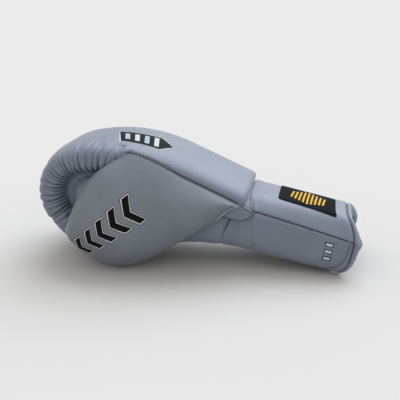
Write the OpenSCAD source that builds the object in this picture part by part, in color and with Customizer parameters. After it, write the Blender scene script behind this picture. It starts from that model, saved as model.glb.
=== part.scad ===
// Right-hand lace-up boxing glove, lying palm down on a table.
// X runs from the fist to the cuff, Y from the thumb side to the little finger side, Z is up.

/* [Fist] */
// Slope of the back of the hand
hand_tilt = 23; // [18:1:28]
// Width of the padded fist, side to side
fist_w = 112; // [104:1:122]
// Length of the straight back of the hand
back_run = 76; // [66:1:86]
// Gathers sewn into the leather round the front of the fist
gathers = 22; // [16:1:24]
// Depth of a gather
gather_depth = 1.5; // [0.8:0.1:2]
// Length of the rise over the knuckles
rise_run = 73; // [66:1:82]
// Length of the flat top of the fist
top_run = 32; // [26:1:38]
// Length round the front of the fist
front_run = 70; // [64:1:76]
// Length down the folded fingers
finger_run = 34; // [30:1:38]
// Length back under the fist
curl_run = 38; // [34:1:42]
// Length under the fingertips
tip_run = 48; // [44:1:52]
// Pad thickness at the wrist
pad_wrist = 28; // [25:1:32]
// Pad thickness over the knuckles
pad_knuckle = 32; // [29:1:34]
// Pad thickness at the fingertips
pad_tip = 24; // [22:1:27]

/* [Thumb] */
// How far the thumb bulges out beside the fist
thumb_bulge = 32; // [26:1:38]
// Straight length of the thumb's free edge, from the wrist
thumb_edge_run = 77; // [72:1:82]
// Padding thickness of the thumb
thumb_pad = 11; // [8:1:13]

/* [Cuff] */
// Length of the cuff
cuff_len = 106; // [96:1:120]
// Width of the cuff
cuff_w = 88; // [80:1:96]
// Height of the cuff
cuff_h = 56; // [52:1:60]
// Padding thickness of the cuff
cuff_pad = 9; // [6:1:11]
// Step from the back of the hand down to the cuff
wrist_step = 6; // [5:0.5:8]
// Space between the two lacing edges
lace_gap = 17; // [12:1:24]
// Lace holes in each flap
lace_holes = 5; // [3:1:6]
// Radius of a lace hole
lace_r = 2.5; // [2:0.1:3]

/* [Materials] */
// Thickness of the leather
leather = 1.6; // [1.2:0.1:2]
// Thickness of the lining cloth
cloth = 0.8; // [0.6:0.1:1]
// Thickness of the woven label
patch = 0.6; // [0.4:0.1:0.8]

/* [Motion] */
// Largest palm-side bend of the wrist that the cut-back cuff leaves room for
wrist_flex = 15; // [10:1:18]

/* [Hidden] */

leather_colour = [0.56, 0.59, 0.65];
foam_colour = [0.85, 0.82, 0.68];
lining_colour = [0.2, 0.2, 0.22];
black = [0.05, 0.05, 0.06];

// Clearance between layers of one body, and between bodies
layer_gap = 0.4;
body_gap = 0.6;
// Depth of the flat that the glove rests on
rest_flat = 1.2;
// Squareness of the fist's and the cuff's cross-sections, 2 is an ellipse
fist_square = 3;
cuff_square = 4;

// Ease from 0 to 1, and a smooth profile through [place, value] pairs
function ease(t) = t * t * (3 - 2 * t);
function profile(x, t, i = 0) =
    x <= t[0][0] ? t[0][1]
    : i >= len(t) - 1 ? t[i][1]
    : x <= t[i + 1][0]
        ? t[i][1] + (t[i + 1][1] - t[i][1]) * ease((x - t[i][0]) / (t[i + 1][0] - t[i][0]))
    : profile(x, t, i + 1);
function mix(a, b, t) = a + (b - a) * t;
function spow(v, e) = sign(v) * pow(abs(v), e);
function span(lo, hi, n) = [for (i = [0:n]) mix(lo, hi, i / n)];

// A chain of [length, turn] arcs: the point and the heading at a distance along it
function chain_run(chain) = [for (c = chain) 1] * [for (c = chain) c[0]];
function arc_point(p, a, run, turn, d) =
    abs(turn) < 0.001 ? p + d * [cos(a), sin(a)]
    : let (r = run / turn * 180 / PI, b = a + turn * d / run) p + r * [sin(b) - sin(a), cos(a) - cos(b)];
function walk(chain, d, p, a, i = 0) =
    let (run = chain[i][0], turn = chain[i][1])
    d <= run || i == len(chain) - 1 ? [arc_point(p, a, run, turn, d), a + turn * d / run]
    : walk(chain, d - run, arc_point(p, a, run, turn, run), a + turn, i + 1);

// Closed rings joined into one solid, with ladder faces across the two ends
module loft(rings) {
    n = len(rings[0]);
    last = len(rings) - 1;
    sides = [for (i = [0:last - 1], j = [0:n - 1]) let (
        a = i * n + j, b = i * n + (j + 1) % n, c = a + n, e = b + n) each [[a, b, e], [a, e, c]]];
    function cap(o, flip) = [for (j = [0:n / 2 - 2]) let (
        a = o + j, b = o + j + 1, c = o + n - 2 - j, e = o + n - 1 - j)
        each (flip ? [[a, c, b], [a, e, c]] : [[a, b, c], [a, c, e]])];
    pts = [for (r = rings) each r];
    faces = concat(sides, cap(0, true), cap(last * n, false));
    // The faces turn outwards whichever way the rings run
    volume = [for (f = faces) 1] * [for (f = faces) pts[f[0]] * cross(pts[f[1]], pts[f[2]])];
    polyhedron(points = pts, faces = volume < 0 ? faces : [for (f = faces) reversed(f)], convexity = 8);
}
function reversed(v) = [for (i = [len(v) - 1:-1:0]) v[i]];
// A sheet's ring: its outer row of points, then its inner row backwards
function sheet_ring(outer, inner) = concat(outer, reversed(inner));

// Back line of the fist, from the wrist over the knuckles to the fingertips, in the XZ plane
back_start = [56, 77];
back_chain = [
    [back_run, 0], [rise_run, hand_tilt + 1], [top_run, 10], [front_run, 80], [finger_run, 38],
    [curl_run, 12], [tip_run, 50]
];
back_len = chain_run(back_chain);
function back(s) = walk(back_chain, s, back_start, 180 - hand_tilt);

s_knuckle = back_run + rise_run;
s_front = s_knuckle + top_run + front_run;
function fist_half(s) = fist_w / 2
    * profile(s, [[0, 0.88], [s_knuckle, 1], [s_front, 0.98], [back_len, 0.84]]);
function pad_t(s) = profile(s, [[0, pad_wrist], [s_knuckle, pad_knuckle], [s_front, pad_knuckle],
    [back_len, pad_tip]]);
// The pad's two ends are rounded over this length
end_r = 6;
function end_round(s) =
    let (x = max(0, 1 - min(s, back_len - s) / end_r)) end_r * (1 - sqrt(1 - x * x)) * 0.8;

floor_z = min([for (s = [back_len - tip_run:2:back_len]) back(s)[0].y]) + rest_flat;
function on_floor(p, depth) = [p.x, p.y, max(p.z, floor_z + max(depth, 0))];

// A point on the padded fist: s along the back line, th round the section (90 is the crown), at a depth
function fist_raw(s, th, depth) =
    let (b = back(s), n = [sin(b[1]), -cos(b[1])], half_t = pad_t(s) / 2, e = depth + end_round(s),
        y = (fist_half(s) - e) * spow(cos(th), 2 / fist_square),
        h = -half_t + (half_t - e) * spow(sin(th), 2 / fist_square))
    [b[0].x + n.x * h, y, b[0].y + n.y * h];
function fist(s, th, depth) = on_floor(fist_raw(s, th, depth), depth);

fist_steps = 28;
end_s = [0, 0.35 * end_r];
fist_s = concat(end_s, span(end_r, back_len - end_r, fist_steps - 4), [back_len - end_s[1], back_len]);
// Angle of the seam with the thumb, and of the inner edges of the leather
seam_th = 178;
corner_th = 144;
inner_near_th = 235;
inner_far_th = -65;
// Distance along the back line where the thumb seam ends, and where the gathers are full
seam_end = back_run + 0.62 * rise_run;
gather_start = seam_end + 34;
function cover_near_th(s) = s < seam_end
    ? lookup(s, [[0, seam_th], [back_run * 0.85, seam_th - 9], [seam_end, corner_th]])
    : profile(s, [[seam_end, corner_th], [gather_start, inner_near_th]]);

gather_end = s_front + finger_run + curl_run * 0.6;
hand_s = [for (i = [0:6]) mix(end_r, gather_start, i / 7)];
gather_s = [for (i = [0:2 * gathers]) mix(gather_start, gather_end, i / (2 * gathers))];
tip_s = [for (i = [1:5]) mix(gather_end, back_len - end_r, i / 5)];
cover_s = concat(end_s, hand_s, gather_s, tip_s, [back_len - end_s[1], back_len]);
// The gathers are deepest at the inner seam and run out at the crown
function gather_weight(s, th) = s < gather_start - 1 || s > gather_end + 1 ? 0
    : ease(min(1, max(0, (th - 100) / 60)));
function gather_fall(i, s, th) = (i - 9) % 2 == 0 ? 0 : gather_depth * gather_weight(s, th);
// Angles of the cover's points: fixed over the crown, then spread as far as the near edge
function cover_th(s) = concat([inner_far_th, -22, 4, 28, 70, 110, 132], [for (k = [0.4, 0.7, 1])
    mix(132, cover_near_th(s), k)]);
module dorsal_cover() placed() color(leather_colour) loft([for (i = [0:len(cover_s) - 1]) let (
    s = cover_s[i], th = cover_th(s))
    sheet_ring([for (h = th) fist(s, h, gather_fall(i, s, h))],
        [for (h = th) fist(s, h, leather + gather_fall(i, s, h))])]);

// The pad is two foam layers that meet at the middle of its thickness
foam_depth = leather + layer_gap;
foam_steps = 13;
// Room for the flats of the faceted cover, but none where the lining lies on the inner face
cover_sag = 2;
// Beside the thumb the foam is set back further, where no cover lies over it
thumb_room = 3;
function fist_foam_depth(s, th) = foam_depth + (abs(th + 90) < 25 ? 0 : cover_sag)
    + (s < gather_start && (th > cover_near_th(s) - 8 || th < -115) ? thumb_room : 0);
function foam_ring(s, side) = [for (j = [0:foam_steps])
    let (h = side * mix(2, 178, j / foam_steps))
    fist(s, h, fist_foam_depth(s, h) + gather_depth * gather_weight(s, side > 0 ? h : 360 + h))];
function shifted(s, pts, dist) = let (a = back(s)[1]) [for (p = pts) p + dist * [sin(a), 0, -cos(a)]];
module knuckle_foam(side) placed() color(foam_colour)
    loft([for (s = fist_s) shifted(s, foam_ring(s, side), side * layer_gap / 2)]);
module knuckle_foam_outer() knuckle_foam(1);
module knuckle_foam_inner() knuckle_foam(-1);

// Hand pocket below the pad: each ring runs from the pad's inner face down to the palm
function pad_inner(s) = let (b = back(s), t = pad_t(s)) b[0] - t * [sin(b[1]), -cos(b[1])];
palm_heel = [back_start.x - 17, back_start.y - 58];
palm_front = [back_start.x - 122, floor_z + 14];
function palm_z(x) = mix(palm_front.y, palm_heel.y,
    ease(min(1, max(0, (x - palm_front.x) / (palm_heel.x - palm_front.x)))));
pocket_end = s_knuckle - 14;
pocket_start = 5;
pocket_steps = 18;
pocket_s = [for (i = [0:pocket_steps]) mix(pocket_start, pocket_end, i / pocket_steps)];
pocket_inset_near = 2.5;
pocket_inset_far = 7;
function pocket(s, th, depth) =
    let (p = pad_inner(s), top = p.y - layer_gap, bottom = palm_z(p.x), mid = (top + bottom) / 2,
        half = (top - bottom) / 2 - depth,
        inset = cos(th) < 0 ? pocket_inset_near : pocket_inset_far,
        y = fist_half(s) - inset - depth)
    // The rings lean with the hand at the wrist and stand upright at the knuckles
    let (lean = sin(hand_tilt) * (1 - (s - pocket_start) / (pocket_end - pocket_start)),
        v = half * spow(sin(th), 2 / fist_square))
    [p.x - (top - mid - v) * lean, y * spow(cos(th), 2 / fist_square), mid + v];
function pocket_sheet(lo, hi, d0, d1, steps, from = 0, to = pocket_steps) = [for (i = [from:to]) let (
    th = [for (j = [0:steps]) mix(lo, hi, j / steps)])
    sheet_ring([for (t = th) pocket(pocket_s[i], t, d0)], [for (t = th) pocket(pocket_s[i], t, d1)])];

palm_lo = 205;
palm_hi = 320;
side_hi = 420;
module palm_panel() placed() color(leather_colour) loft(pocket_sheet(palm_lo, palm_hi, 0, leather, 10));
module little_side_panel() placed() color(leather_colour)
    loft(pocket_sheet(palm_hi + 1, side_hi, 0, leather, 8));
module hand_lining() placed() color(lining_colour)
    loft(pocket_sheet(palm_lo, 520, leather + layer_gap, leather + layer_gap + cloth, 20, 1, pocket_steps));

// Lining of the finger pocket, on the inner face of the pad
module finger_lining() placed() color(lining_colour)
    loft([for (s = span(end_r + 2, back_len - end_r - 2, 34)) let (ths = span(240, 290, 5))
        sheet_ring([for (h = ths) fist_raw(s, h, layer_gap)],
            [for (h = ths) fist_raw(s, h, layer_gap + cloth)])]);

// Flat leather walls that close the finger pocket at both sides, inside the curl of the pad
wall_s = span(s_knuckle - 24, back_len - end_r, 20);
function curl_point(s) = let (b = back(s)) b[0] - (pad_t(s) + layer_gap) * [sin(b[1]), -cos(b[1])];
module finger_wall(y) placed() color(leather_colour) translate([0, y, 0]) rotate([90, 0, 0])
    linear_extrude(leather) polygon([for (s = wall_s) let (p = curl_point(s)) [min(p.x, wall_x), p.y]]);
wall_x = pad_inner(pocket_end).x - body_gap;
wall_inset = 12;
module finger_gusset() finger_wall(-fist_w / 2 + wall_inset);
module little_finger_wall() finger_wall(fist_w / 2 - wall_inset + leather);

// Roll that the fingertips close on
grip_r = 9;
grip_s = back_len - 16;
grip_at = curl_point(grip_s) - grip_r * [sin(back(grip_s)[1]), -cos(back(grip_s)[1])];
grip_len = fist_w - 2 * wall_inset - 2 * body_gap;
module grip_bar() placed() color(foam_colour) translate([grip_at.x, 0, grip_at.y]) rotate([90, 0, 0])
    cylinder(r = grip_r, h = grip_len, center = true, $fn = 48);

// Thumb: a leaf-shaped shell between its top line and its bottom line, both ending at the tip
seam_s0 = 5;
function seam(s) = fist(s, cover_near_th(s), 0);
apex = seam(seam_s0);
thumb_edge = [[38, -14], [thumb_edge_run, -6], [50, -58], [44, -46]];
thumb_edge_len = chain_run(thumb_edge);
thumb_heading = 230;
thumb_fall = -min([for (d = [0:4:thumb_edge_len]) walk(thumb_edge, d, [0, 0], thumb_heading)[0].y]);
thumb_edge_start = [apex.x, floor_z + 1.2 + thumb_fall];
function thumb_low(d) = walk(thumb_edge, d, thumb_edge_start, thumb_heading)[0];
thumb_tip = thumb_low(thumb_edge_len);
thumb_corner = seam(seam_end);
edge_y = -fist_w / 2 - 3.5;
// The top line follows the seam to the corner, then the free edge back down to the tip
seam_part = 0.5;
function thumb_top_point(u) =
    u <= seam_part ? seam(mix(seam_s0, seam_end, u / seam_part)) - [0, 1.4, 1.8]
    : let (t = (u - seam_part) / (1 - seam_part), bow = 9 * sin(180 * t) * t)
        [mix(thumb_corner.x, thumb_tip.x, t) - bow, mix(thumb_corner.y - 1.4, edge_y, ease(min(1, t * 2.5))),
            mix(thumb_corner.z - 1.8, thumb_tip.y, t) + bow];
function thumb_low_point(u) = let (p = thumb_low(thumb_edge_len * u))
    [p.x, mix(apex.y - 3, edge_y, ease(min(1, u * 3))), p.y];
function thumb_swell(u) = thumb_bulge
    * profile(u, [[0, 0.16], [0.25, 0.55], [0.62, 1], [0.86, 0.8], [1, 0.3]]);
function thumb_skin(u, v) = let (a = thumb_top_point(u), b = thumb_low_point(u), p = mix(a, b, v))
    [p.x, p.y - thumb_swell(u) * pow(sin(180 * v), 0.7), max(p.z, floor_z + 1)];
function unit(v) = v / norm(v);
// A point at a depth below the thumb's outer skin
function thumb(u, v, depth) = let (e = 0.01, w = min(0.97, max(0.03, v)), k = min(0.97, max(0.03, u)),
    n = unit(cross(thumb_skin(k + e, w) - thumb_skin(k - e, w), thumb_skin(k, w + e) - thumb_skin(k, w - e))))
    thumb_skin(u, v) - depth * n;
thumb_steps = 20;
thumb_across = 11;
function thumb_layer(u, v0, v1, d0, d1) = let (vs = span(v0, v1, thumb_across))
    sheet_ring([for (v = vs) thumb(u, v, d0)], [for (v = vs) thumb(u, v, d1)]);
// The side next to the fist is nearly flat and clears the pad
inner_y = -fist_w / 2 - 0.8;
function thumb_inside(u, v, depth) = let (a = thumb_top_point(u), b = thumb_low_point(u), p = mix(a, b, v))
    [p.x, min(p.y + 1.5 * sin(180 * v), inner_y) - depth, max(p.z, floor_z + 1.5)];
function inside_v0(u) = profile(u, [[0.44, 0.42], [0.62, 0.1]]);

module thumb_outer_panel() placed() color(leather_colour)
    loft([for (u = span(0.04, 0.985, thumb_steps)) thumb_layer(u, 0.004, 0.996, 0, leather)]);
module thumb_inner_panel() placed() color(leather_colour)
    loft([for (u = span(0.24, 0.9, 14)) let (vs = span(inside_v0(u), 0.9, 7))
        sheet_ring([for (v = vs) thumb_inside(u, v, leather)], [for (v = vs) thumb_inside(u, v, 0)])]);
// The thumb's padding thins out toward its edges
function thumb_pad_at(u, v) = 1 + thumb_pad * profile(u, [[0.3, 0.3], [0.5, 1], [0.8, 1], [0.92, 0.3]])
    * ease(min(1, (0.5 - abs(v - 0.5)) / 0.36));
thumb_foam_depth = foam_depth + 0.5;
module thumb_foam() placed() color(foam_colour)
    loft([for (u = span(0.3, 0.9, 14)) let (vs = span(0.16, 0.84, thumb_across))
        sheet_ring([for (v = vs) thumb(u, v, thumb_foam_depth)],
            [for (v = vs) thumb(u, v, thumb_foam_depth + thumb_pad_at(u, v))])]);
lining_depth = thumb_foam_depth + 1 + thumb_pad + layer_gap;
module thumb_lining() placed() color(lining_colour)
    loft([for (u = span(0.46, 0.82, 12)) thumb_layer(u, 0.28, 0.72, lining_depth, lining_depth + cloth)]);
// Cuff: along from the wrist hinge, down to the table at its far end
wrist = [back_start.x - 2, back_start.y - wrist_step];
binding_len = 6;
// The open end is rounded back by this much at its top and its bottom
end_back = 11;
rest_len = cuff_len - end_back + binding_len / 2;
cuff_tilt = asin((wrist.y - floor_z) / norm([rest_len, cuff_h])) - atan2(cuff_h, rest_len);
cuff_along = [cos(cuff_tilt), 0, -sin(cuff_tilt)];
cuff_up = [sin(cuff_tilt), 0, cos(cuff_tilt)];
wrist_point = [wrist.x, 0, wrist.y];
function cuff_place(along, y, up) = wrist_point + along * cuff_along + up * cuff_up + [0, y, 0];
cuff_slant = tan(wrist_flex + 2);
function cuff_start(up) = body_gap + cuff_slant * max(0, -up);
function cuff_end(up) = cuff_len - end_back * pow(abs(1 + 2 * up / cuff_h), 3);
function cuff_y(th, depth) = (cuff_w / 2 - depth) * spow(cos(th), 2 / cuff_square);
function cuff_v(th, depth) = -cuff_h / 2 + (cuff_h / 2 - depth) * spow(sin(th), 2 / cuff_square);
// A point on the cuff: f from the wrist edge (0) to the open end (1)
function cuff(f, th, depth) = let (v = cuff_v(th, depth))
    cuff_place(mix(cuff_start(v), cuff_end(cuff_v(th, 0)), f), cuff_y(th, depth), v);
function back_th(f) = mix(25, 14, f);
// The side layers all end above the same line, where the lacing flaps begin
flap_y = cuff_w / 2 - 14;
function flap_th(depth) = -acos(pow(flap_y / (cuff_w / 2 - depth), cuff_square / 2));
// One row of a layer's points; far and near say that it runs down to a flap at that side
function cuff_row(f, lo, hi, depth, steps, far, near) = [for (h = span(far ? flap_th(depth) : lo,
    near ? 180 - flap_th(depth) : hi, steps)) cuff(f, h, depth)];
// A layer of the cuff between two angles, each given at the wrist and at the open end
module cuff_part(lo, hi, d0, d1, steps, f0 = 0, f1 = 1, far = false, near = false) placed()
    loft([for (f = span(f0, f1, 5)) let (a = mix(lo[0], lo[1], f), b = mix(hi[0], hi[1], f))
        sheet_ring(cuff_row(f, a, b, d0, steps, far, near), cuff_row(f, a, b, d1, steps, far, near))]);
function both(th) = [th, th];
back_far = [back_th(0), back_th(1)];
back_near = both(180) - back_far;
cuff_in = foam_depth + cuff_pad;
seam_half = 0.4;
module cuff_back_panel() color(leather_colour) cuff_part(back_far, back_near, 0, leather, 16);
module cuff_back_foam() color(foam_colour)
    cuff_part(back_far + both(2), back_near - both(2), foam_depth, cuff_in, 16, 0.04, 1);
module cuff_thumb_side_panel() color(leather_colour)
    cuff_part(back_near + both(seam_half), both(0), 0, leather, 10, near = true);
module cuff_thumb_side_foam() color(foam_colour)
    cuff_part(back_near + both(2), both(0), foam_depth, cuff_in, 10, 0.04, 1, near = true);
module cuff_little_side_panel() color(leather_colour)
    cuff_part(both(0), back_far - both(seam_half), 0, leather, 10, far = true);
module cuff_little_side_foam() color(foam_colour)
    cuff_part(both(0), back_far - both(2), foam_depth, cuff_in, 10, 0.04, 1, far = true);
module cuff_lining() color(lining_colour) cuff_part(both(0), both(0), cuff_in + layer_gap,
    cuff_in + layer_gap + cloth, 25, 0.05, 1, far = true, near = true);

// Rolled binding round the open end
binding_depth = (cuff_in + cloth) / 2;
function binding_ring(th) = [for (k = [0:11]) let (
    d = binding_depth + (binding_depth + 0.8) * cos(30 * k),
    a = cuff_end(cuff_v(th, 0)) + body_gap + binding_len / 2 * (1 + sin(30 * k)),
    p = cuff_place(a, cuff_y(th, d), cuff_v(th, d))) on_floor(p, 0)];
module cuff_binding() placed() color(leather_colour)
    loft([for (t = span(flap_th(0), 180 - flap_th(0), 36)) reversed(binding_ring(t))]);
module wrist_band() color(leather_colour) cuff_part(back_far, back_near, -1.4, -0.1, 16, 0, 0.08);
module cuff_label() color(black) cuff_part(both(38), [118, 126], -0.1 - patch, -0.1, 10, 0.28, 0.82);

// Sleeve from the end of the hand into the cuff, clear of the cuff over the whole bend
sleeve_tuck = 9;
hand_line = [cos(back(0)[1]), sin(back(0)[1])];
sleeve_top = back_start + 20 * [-hand_line.y, hand_line.x] - layer_gap * hand_line;
palm_end = pocket(pocket_start, 270, 0);
sleeve_low = [palm_end.x + body_gap, palm_end.z + layer_gap];
function sleeve_root(th) = let (k = 0.5 + 0.5 * spow(sin(th), 2 / fist_square),
    p = mix(sleeve_low, sleeve_top, k),
    inset = 1 + (cos(th) < 0 ? pocket_inset_near : pocket_inset_far))
    [p.x, (fist_half(0) - inset) * spow(cos(th), 2 / fist_square), p.y];
function sleeve_mouth(th) = let (v = cuff_v(th, cuff_in + 6.5)) cuff_place(
    sleeve_tuck - 0.1 * v, cuff_y(th, cuff_in + 7.5), v - 3.5);
function sleeve(t, th) = mix(sleeve_root(th), sleeve_mouth(th), t);
sleeve_mid = [wrist.x, 0, wrist.y - cuff_h / 2];
function sleeve_inner(t, th) = let (p = sleeve(t, th), d = p - sleeve_mid) p - leather * unit([0, d.y, d.z]);
module wrist_gusset() placed() color(leather_colour)
    loft([for (t = span(0, 1, 5)) let (ths = span(91, 449, 31))
        sheet_ring([for (h = ths) sleeve(t, h)], [for (h = ths) sleeve_inner(t, h)])]);

// Lacing flaps: flat leather between the side panels and the lacing slit, with a stay inside
flap_hinge_y = flap_y - body_gap;
flap_up = cuff_v(flap_th(0), 0) - 0.6;
flap_t = 3;
stay_t = 1.4;
flap_from = cuff_start(-cuff_h) + 2;
flap_to = cuff_len - end_back - 2;
hole_y = lace_gap / 2 + 6;
hole_pitch = (flap_to - flap_from - 16) / (lace_holes - 1);
module cuff_frame() placed() translate(wrist_point) rotate([0, cuff_tilt, 0]) children();
module lace_bores() for (i = [0:lace_holes - 1])
    translate([flap_from + 8 + i * hole_pitch, hole_y, flap_up - 1])
        cylinder(r = lace_r, h = flap_t + stay_t + 4, $fn = 32);
module lace_flap(side) color(leather_colour) cuff_frame() mirror([0, side < 0 ? 1 : 0, 0]) difference() {
    translate([flap_from, lace_gap / 2, flap_up])
        cube([flap_to - flap_from, flap_hinge_y - lace_gap / 2, flap_t]);
    lace_bores();
}
module lace_stay(side) color(lining_colour) cuff_frame() mirror([0, side < 0 ? 1 : 0, 0]) difference() {
    translate([flap_from + 2, lace_gap / 2 + 1, flap_up + flap_t + layer_gap / 4])
        cube([flap_to - flap_from - 4, 11, stay_t]);
    lace_bores();
}
module lace_flap_thumb_side() lace_flap(-1);
module lace_flap_little_side() lace_flap(1);
module lace_stay_thumb_side() lace_stay(-1);
module lace_stay_little_side() lace_stay(1);

// The origin is at the middle of the footprint, on the table
x_lo = min([for (s = fist_s) back(s)[0].x]);
x_hi = max([for (k = [0:11], t = [-60:10:90]) binding_ring(t)[k].x]);
y_lo = min([for (u = span(0.4, 0.9, 20), v = span(0.3, 0.7, 8)) thumb(u, v, 0).y]);
y_hi = max([for (s = fist_s) fist_half(s) - end_round(s)]);
origin = [(x_lo + x_hi) / 2, (y_lo + y_hi) / 2, floor_z];
module placed() translate(-origin) children();
thumb_hinge_s = mix(seam_s0, seam_end, 0.6);
thumb_hinge = seam(thumb_hinge_s) + [0, 0, 1];
// Places that the joints and the mounts use
flap_low = cuff_place(0, flap_hinge_y, flap_up) - origin;
hole_first = cuff_place(flap_from + 8, hole_y, flap_up) - origin;
rest_point = fist(back_len - tip_run * 0.3, 90, 0) - origin;
echo(cuff_tilt = cuff_tilt, wrist_hinge = wrist_point - origin, thumb_hinge = thumb_hinge - origin,
    thumb_slope = 180 - back(thumb_hinge_s)[1], flap_low = flap_low, hole_first = hole_first,
    hole_pitch = hole_pitch, hole_depth = flap_t + layer_gap / 4 + stay_t, rest_point = rest_point);

dorsal_cover();
knuckle_foam_outer();
knuckle_foam_inner();
palm_panel();
little_side_panel();
finger_gusset();
little_finger_wall();
finger_lining();
hand_lining();
grip_bar();
wrist_gusset();
thumb_outer_panel();
thumb_inner_panel();
thumb_foam();
thumb_lining();
cuff_back_panel();
cuff_back_foam();
cuff_thumb_side_panel();
cuff_thumb_side_foam();
cuff_little_side_panel();
cuff_little_side_foam();
cuff_lining();
cuff_binding();
wrist_band();
cuff_label();
lace_flap_thumb_side();
lace_flap_little_side();
lace_stay_thumb_side();
lace_stay_little_side();
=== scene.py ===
"""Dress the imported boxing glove: leather, lining, seams, label, lacing flaps, studio and camera."""
import logging
import math
from dataclasses import dataclass, field
from enum import Enum
from functools import cached_property
from typing import Callable, Sequence

import bmesh
import bpy
import numpy as np
from mathutils import Matrix, Vector


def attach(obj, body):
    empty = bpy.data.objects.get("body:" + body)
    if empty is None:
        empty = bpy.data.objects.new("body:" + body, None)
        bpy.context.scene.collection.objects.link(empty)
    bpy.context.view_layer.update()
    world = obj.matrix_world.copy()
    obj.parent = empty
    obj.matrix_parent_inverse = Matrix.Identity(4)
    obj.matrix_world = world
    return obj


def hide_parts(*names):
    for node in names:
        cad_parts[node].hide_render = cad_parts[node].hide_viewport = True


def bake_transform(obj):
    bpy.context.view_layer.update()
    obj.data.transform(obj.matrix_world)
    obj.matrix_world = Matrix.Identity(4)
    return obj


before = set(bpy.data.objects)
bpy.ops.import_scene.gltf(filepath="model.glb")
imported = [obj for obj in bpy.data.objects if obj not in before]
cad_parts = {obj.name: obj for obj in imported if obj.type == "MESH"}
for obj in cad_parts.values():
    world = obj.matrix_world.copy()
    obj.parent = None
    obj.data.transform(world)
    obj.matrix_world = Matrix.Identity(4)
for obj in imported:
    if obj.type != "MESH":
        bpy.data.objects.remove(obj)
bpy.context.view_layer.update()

LOG = logging.getLogger("boxing_glove")
MM = 0.001
Array = np.ndarray
Colour = tuple[float, float, float]
ColourStop = tuple[float, Colour]
Faces = list[tuple[int, ...]]


class Body(str, Enum):
    """Bodies that the pieces ride on."""

    HAND = "hand"
    THUMB = "thumb"
    CUFF = "cuff"
    FLAP_THUMB = "flap_thumb"
    FLAP_LITTLE = "flap_little"


class Slot(str, Enum):
    """Material slots of the record."""

    LEATHER = "leather"
    LEATHER_DARK = "leather_dark"
    LINING = "lining_cloth"
    LABEL = "label"


def ease(t: Array) -> Array:
    """Ease from 0 to 1."""
    t = np.clip(t, 0.0, 1.0)
    return t * t * (3.0 - 2.0 * t)


def mix(a: Array, b: Array, t: Array) -> Array:
    """Blend from a to b."""
    return a + (b - a) * t


def profile(x: Array, knots: Sequence[tuple[float, float]]) -> Array:
    """Follow [place, value] knots with an eased step between neighbours.

    Args:
        x: Places to read.
        knots: Pairs in rising order of place.

    Returns:
        The value at each place.
    """
    x = np.asarray(x, float)
    out = np.full(x.shape, knots[0][1], float)
    for (x0, y0), (x1, y1) in zip(knots, knots[1:]):
        out = np.where(x > x0, mix(y0, y1, ease((x - x0) / (x1 - x0))), out)
    return out


def signed_power(v: Array, e: float) -> Array:
    """Raise to a power and keep the sign."""
    return np.sign(v) * np.abs(v) ** e


def ripple(x: Array, seed: float) -> Array:
    """Give a smooth, uneven wave between about -1 and 1."""
    waves = ((1.0, 1.0, 1.0), (0.6, 2.3, 2.1), (0.4, 4.1, 3.7))
    return sum(size * np.sin(rate * x + shift * seed) for size, rate, shift in waves) / 2.0


@dataclass(frozen=True)
class ArcChain:
    """A plane line of arcs, each a length in mm and a turn in degrees."""

    pieces: tuple[tuple[float, float], ...]
    start: tuple[float, float]
    heading: float

    @cached_property
    def length(self) -> float:
        """Whole length of the line."""
        return sum(run for run, _ in self.pieces)

    def at(self, d: Array) -> tuple[Array, Array, Array]:
        """Walk along the line.

        Args:
            d: Distances from the start.

        Returns:
            X, Z and the heading in radians at each distance.
        """
        d = np.asarray(d, float)
        out = [np.zeros(d.shape) for _ in range(3)]
        px, pz, a, done = self.start[0], self.start[1], math.radians(self.heading), 0.0
        for i, (run, turn) in enumerate(self.pieces):
            part = d - done
            here = (part >= 0) | (i == 0)
            rate = math.radians(turn) / run
            b = a + rate * part
            if abs(turn) < 1e-6:
                qx, qz = px + part * math.cos(a), pz + part * math.sin(a)
            else:
                qx, qz = px + (np.sin(b) - math.sin(a)) / rate, pz + (math.cos(a) - np.cos(b)) / rate
            for k, q in enumerate((qx, qz, b)):
                out[k] = np.where(here, q, out[k])
            end = a + math.radians(turn)
            if abs(turn) < 1e-6:
                px, pz = px + run * math.cos(a), pz + run * math.sin(a)
            else:
                px, pz = px + (math.sin(end) - math.sin(a)) / rate, pz + (math.cos(a) - math.cos(end)) / rate
            a, done = end, done + run
        return out[0], out[1], out[2]


def points(x: Array, y: Array, z: Array) -> Array:
    """Stack coordinates into points."""
    return np.stack(np.broadcast_arrays(x, y, z), axis=-1)


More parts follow.
